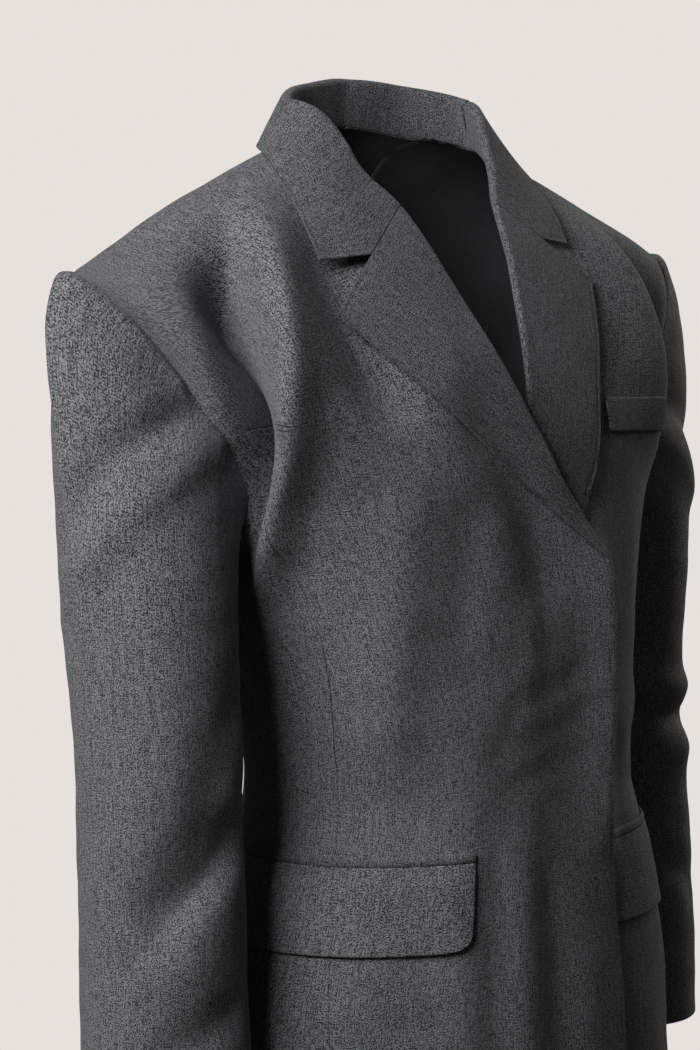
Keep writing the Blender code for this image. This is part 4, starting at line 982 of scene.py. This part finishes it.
def finer_rows(points, ends, length):
    """Rows taken again with steps of about 0.9 mm at the first end, or at both ends."""
    steps = fine_steps(END_STEPS / length, len(points), ends)
    return resample(points.swapaxes(0, 1), steps).swapaxes(0, 1)


def turned_shell(name, points, face, ends, length, along_first, shift):
    """Shell of a turned piece, with a pressed line beside its open edges: the last column, and beyond the
    notch the first row, or both end rows. Its cloth coordinates start at the shift."""
    points, face = finer_rows(points, ends, length), finer_rows(face[:, None], ends, length)[:, 0]

    def grid_normals():
        """Normals of the grid, on the side that the roll's face turns away from."""
        normals = unit(np.cross(np.gradient(points, axis=0), np.gradient(points, axis=1)))
        return normals * -np.sign(np.sum(normals[:, 0] * face, axis=-1).mean())

    away = row_length(points)
    sewn_part = 1e3 * (1 - ease((np.arange(points.shape[1]) - (ROLL_CELLS + STAND_CELLS + NOTCH_AT)) / 3.0))
    for step in (1, -1)[:ends]:
        away = np.minimum(away, run_length(points[::step])[::step] + sewn_part)
    raised = PRESS_DEPTH * np.exp(-((away - PRESS_AT) / PRESS_WIDTH) ** 2)
    points = points + grid_normals() * raised[..., None]
    pair = np.broadcast_arrays(row_length(points), run_length(points).mean(axis=1)[:, None])
    cloth_at = np.stack(pair[::-1] if along_first else pair, axis=-1)
    # The turned cloth wears the facing wool, whose colour is darkened as painted shade.
    return shell(name, points, grid_normals(), FACED, cloth_at + shift, facing_wool)


def lapel(side, name):
    """A lapel from the gorge to the break: the body's patch under it, and cloth turned over the roll line."""
    roll_table, edge_table, notch, lay = (
        (RIGHT_ROLL, RIGHT_LAPEL_EDGE, RIGHT_NOTCH, RIGHT_LAPEL_LAY) if side < 0
        else (LEFT_ROLL, LEFT_LAPEL_EDGE, LEFT_NOTCH, LEFT_LAPEL_LAY)
    )
    roll, edge = (front_line(table, side, ROLL_ROWS)[::-1] for table in (roll_table, edge_table))
    corner, half = spot(notch, side), LAPEL_COLUMNS // 2
    top = join(straight(roll[0], corner, half), straight(corner, edge[0], half))
    pairs = resample(blend_patch(top, straight(roll[-1], edge[-1], LAPEL_COLUMNS), roll, edge), FALL)
    start, out, across, _ = (value[:ROLL_ROWS + 1][::-1] for value in neck_frame(side))
    rows = np.linspace(0, 1, ROLL_ROWS + 1)
    rolls, rests = (
        first + change * ease((rows - since) / span)
        for first, (change, since, span) in zip((LAPEL_ROLL, LAPEL_REST), lay)
    )
    at_break = ease((rows - BREAK_FROM) / BREAK_SPAN)
    if side < 0:
        rolls = rolls - BREAK_ROLL * at_break
    stands = LAPEL_STAND - BREAK_STAND * at_break
    points, face = turned(side, pairs, start, out, across, stands, rolls, rests, 0 * rows)
    kept = rows < (RIGHT_LAPEL_END if side < 0 else np.inf)
    return turned_shell(name, points[kept], face[kept], 1, LAPEL_LENGTH, False, 3.0 + side)


# The facing is the body's worsted with both yarns painted about a fifth darker: painted shade, so that the
# lapels, the collar and the pocket jets look darker than the chest they lie on.
facing_wool = wool("facing_wool", (0.014, 0.0145, 0.016), (0.196, 0.198, 0.210), slubs=0.9)
for side, word, length, area in ((-1, "right", 0.32, 0.0181), (1, "left", 0.34, 0.0208)):
    sewn(
        lapel(side, word + "_lapel_cloth"), word + "_lapel", "facing_wool", flat=(0.105, length), area=area,
        held="folded", rests_on=[word + "_front_cloth"],
    )


# ---- Collar ----------------------------------------------------------------------------------------------
# One collar from gorge to gorge: a stand that leans in round the neck, a rolled crease, and a fall that lies
# on the shoulders and covers the neck seam at the back.

COLLAR_COLUMNS = ("along", "stand", "lean", "roll", "rest")
COLLAR = (
    (0.00, 0.0010, 0, 0.0026, 0.0045),
    (0.25, 0.0120, 30, 0.0034, 0.0045),
    (0.50, 0.0290, 52, 0.0040, 0.0060),
    (0.75, 0.0330, 56, 0.0040, 0.0060),
    (1.00, 0.0310, 58, 0.0040, 0.0046),
)
COLLAR_LENGTH = 0.36
RIGHT_COLLAR_EDGE = ((-0.125, -0.083), (-0.122, -0.047), (-0.109, 0.0))
LEFT_COLLAR_EDGE = ((0.109, -0.079), (0.114, -0.047), (0.109, 0.0))
COLLAR_BACK_EDGE = ((0.109, 0.0), (0.092, 0.023), (0.056, 0.044), (0.0, 0.054))


def collar_half(side):
    """Half of the collar, from the gorge to the centre back."""
    start, out, across, neck = (value[ROLL_ROWS:] for value in neck_frame(side))
    edge_front = front_line(RIGHT_COLLAR_EDGE if side < 0 else LEFT_COLLAR_EDGE, side, NECK_ROWS)
    edge = join(edge_front, back_line(COLLAR_BACK_EDGE, side))
    corner = spot(RIGHT_NOTCH if side < 0 else LEFT_NOTCH, side)
    pairs = neck[:, None] + (edge - neck)[:, None] * FALL[None, :, None]
    gorge = np.array([neck[0], corner, edge[0]])
    first = np.stack([np.interp(FALL, (0.0, 0.5, 1.0), gorge[:, axis]) for axis in (0, 1)], axis=-1)
    share = np.clip(1 - np.arange(len(neck)) / NECK_ROWS, 0, 1) ** 2
    pairs = pairs + (first - pairs[0]) * share[:, None, None]
    steps = np.linspace(0, 1, len(neck))
    stands, leans, rolls, rests = (
        smooth(steps, column(COLLAR, COLLAR_COLUMNS, "along"), column(COLLAR, COLLAR_COLUMNS, name))
        for name in COLLAR_COLUMNS[1:]
    )
    return turned(side, pairs, start, out, across, stands, rolls, rests, np.radians(leans))


right_half, left_half = collar_half(-1), collar_half(1)
points, face = (np.concatenate([right, left[-2::-1]]) for right, left in zip(right_half, left_half))
sewn(
    turned_shell("collar_cloth", points, face, 2, COLLAR_LENGTH, True, 6.0), "collar", "facing_wool",
    flat=(0.56, 0.09), area=0.0394, held="folded", rests_on=["right_back_cloth", "left_back_cloth"],
)


# ---- Hip pockets -----------------------------------------------------------------------------------------
# Flap pockets: a narrow jet over the mouth, and under it a lined flap with a rounded front corner. Both are
# sewn to the front and the side body and run round to the side.

POCKET_FRONT = (0.058, -0.5045)
POCKET_BACK = (10, -0.2790)
JET_HEIGHT = 0.007
JET_ROWS = np.array([1.0, 0.86, 0.66, 0.34, 0.14, 0.0])
FLAP_START = 0.0003
FLAP_HEIGHT = 0.061
FLAP_CORNER = 0.012
FLAP_COLUMNS = 70
FLAP_ROWS = np.concatenate([
    [0.0, 0.015, 0.035], np.linspace(0.06, 0.78, 14), 1 - 0.22 * np.cos(np.linspace(0, np.pi / 2, 12)[1:]),
])
JET, FLAP = 0.0012, 0.0017
# height over the front and how much more between the edges
JET_LIFT, JET_PUFF = 0.0020, 0.0009
FLAP_LIFT, FLAP_BULGE, FLAP_WAVE = 0.0022, 0.0010, 0.0004


def grid_cloth(points, shift):
    """Cloth coordinates of a grid: its mean lengths across and along. The shift gives each piece its own
    stretch of cloth."""
    across = run_length(points.swapaxes(0, 1)).mean(axis=1)
    along = run_length(points).mean(axis=1)[:, None]
    return np.stack(np.broadcast_arrays(across, along), axis=-1) + shift


def pocket(side, word):
    """The jet and the flap of one side. The flap's front end is drawn back along a quarter circle at its
    corner, and its lower edge stands a little off the body."""
    back_end = np.array([np.radians(POCKET_BACK[0]), POCKET_BACK[1]])
    line = straight(spot((side * POCKET_FRONT[0], POCKET_FRONT[1]), side), back_end, FLAP_COLUMNS)
    pairs = np.stack([line + (0.0, JET_HEIGHT * up) for up in JET_ROWS])
    puff = JET_LIFT + JET_PUFF * np.sin(np.pi * JET_ROWS)[:, None] * np.ones(len(line))
    points, normals = laid(pairs, side, puff)
    jet = shell(word + "_jet_cloth", points, normals, JET, grid_cloth(points, 8.0), facing_wool)
    drop = FLAP_START + (FLAP_HEIGHT - FLAP_START) * FLAP_ROWS
    width = run_length(cloth(line[:, 0], line[:, 1], side))[-1]
    low = np.clip((drop - (FLAP_HEIGHT - FLAP_CORNER)) / FLAP_CORNER, 0, 1)
    inset = FLAP_CORNER * (1 - np.sqrt(1 - low ** 2)) / width
    part = inset[:, None] + (1 - inset[:, None]) * edge_fine(FLAP_COLUMNS, width)
    drop = drop[:, None]
    along = np.linspace(0, 1, len(line))
    angle, level = np.interp(part, along, line[:, 0]), np.interp(part, along, line[:, 1]) - drop
    bulge = FLAP_LIFT + FLAP_BULGE * ease(FLAP_ROWS / 0.25)[:, None]
    bulge = bulge + FLAP_WAVE * waves(part * width, drop, 0.02, side)
    points, normals = laid(np.stack([angle, level], axis=-1), side, bulge)
    cloth_at = np.stack(np.broadcast_arrays(part * width, -drop), axis=-1)
    flap = shell(word + "_flap_cloth", points, normals, FLAP, cloth_at + 9.0 + side, flap_wool)
    return jet, flap


flap_wool = wool("flap_wool", (0.016, 0.0165, 0.018), (0.240, 0.242, 0.257))
for side, word, length in ((-1, "right", 0.194), (1, "left", 0.217)):
    jet, flap = pocket(side, word)
    for piece, kind, width, share in ((jet, "jet", 0.010, 0.0083), (flap, "flap", 0.066, 0.064)):
        sewn(
            piece, word + "_pocket_" + kind, "trim_wool", flat=(length, width), area=share * length,
            held="hung", rests_on=[word + "_front_cloth"],
        )


# ---- Breast welt -----------------------------------------------------------------------------------------
# A plain welt pocket on the wearer's left chest: a folded strip sewn down at both ends, part under the lapel.

WELT_START = (0.096, -0.186)
WELT_END = (0.170, -0.190)
WELT_HEIGHT = 0.025
WELT_COLUMNS = 30
WELT = 0.0014
WELT_LIFT, WELT_PUFF = 0.0024, 0.0004

top, low = (
    front_line([(x, z - drop) for x, z in (WELT_START, WELT_END)], 1, WELT_COLUMNS)
    for drop in (0.0, WELT_HEIGHT)
)
share = np.linspace(0, 1, 14)[:, None]
pairs = top * (1 - share[..., None]) + low * share[..., None]
height = WELT_LIFT + WELT_PUFF * np.sin(np.pi * share) * np.ones(WELT_COLUMNS + 1)
points, normals = laid(pairs, 1, height)
sewn(
    shell("chest_welt_cloth", points, normals, WELT, grid_cloth(points, 12.0), flap_wool), "chest_welt",
    "trim_wool", flat=(0.085, 0.026), area=0.0021, held="folded", rests_on=["left_front_cloth"],
)


# ---- Studio ----------------------------------------------------------------------------------------------
# A round pale room with a floor, a wide soft light to the wearer's right, and a camera at the wearer's right
# front.

CAMERA_AT = (-1.607, -1.915, 0.0)
CAMERA_YAW = 0.8815
CAMERA_PITCH = -0.1133
ROOM_RADIUS = (0.0, 3.0, 6.0, 7.4, 8.4, 9.0, 9.2, 9.2, 9.2)
ROOM_HEIGHT = (-1.62, -1.62, -1.62, -1.50, -1.10, -0.40, 0.60, 3.0, 7.0)


def room():
    """Floor and wall as one profile turned round: flat, a quarter curve, and upright."""
    turn = np.linspace(0, 2 * np.pi, 96, endpoint=False)
    radius, height = np.array(ROOM_RADIUS)[:, None], np.array(ROOM_HEIGHT)[:, None]
    points = np.broadcast_arrays(radius * np.cos(turn), radius * np.sin(turn), height)
    return placed("room", ring_mesh("room", np.stack(points, axis=-1), capped=False))


def pale(name, seen, cast):
    """Matte pale paint that looks evenly lit to the camera, and gives off a fixed soft light to the rest."""
    material, tree, _ = blank(name)
    tree.nodes.clear()
    seen_ray = node(tree, "ShaderNodeLightPath").outputs["Is Camera Ray"]
    near, far = (
        node(tree, "ShaderNodeEmission", in_Color=(*seen, 1.0), in_Strength=strength).outputs[0]
        for strength in (1.0, cast)
    )
    mix = node(tree, "ShaderNodeMixShader", in_0=seen_ray, in_1=far, in_2=near)
    node(tree, "ShaderNodeOutputMaterial", in_Surface=mix.outputs[0])
    return material


def lamp(name, at, towards, width, height, power, colour=(1.0, 1.0, 1.0)):
    """A soft rectangular light at a point, turned to another."""
    data = bpy.data.lights.new(name, "AREA")
    data.shape = "RECTANGLE"
    data.size, data.size_y, data.energy, data.color = width, height, power, colour
    made = placed(name, data)
    made.location = at
    made.rotation_mode = "QUATERNION"
    made.rotation_quaternion = (Vector(towards) - Vector(at)).to_track_quat("-Z", "Y")


studio = room()
studio.data.materials.append(pale("studio_paint", (0.80, 0.755, 0.735), 0.05))
lamp("key", (-1.90, -0.36, 0.98), (0.0, -0.05, -0.30), 1.4, 0.9, 61.0)
lamp("back_fill", (2.3, 0.5, 0.4), (0.0, 0.0, -0.35), 1.4, 1.4, 18.0, (1.0, 0.95, 0.90))

camera = placed("camera", bpy.data.cameras.new("camera"))
camera.data.lens = 115.7
camera.data.sensor_width = 36.0
camera.location = CAMERA_AT
camera.rotation_euler = (np.pi / 2 + CAMERA_PITCH, 0.0, CAMERA_YAW - np.pi / 2)
scene = bpy.context.scene
scene.camera = camera
scene.view_settings.view_transform = "Standard"
scene.world = scene.world or bpy.data.worlds.new("world")
scene.world.use_nodes = True
feed(
    scene.world.node_tree, scene.world.node_tree.nodes["Background"], in_Color=(0.5, 0.5, 0.5, 1.0),
    in_Strength=0.07,
)
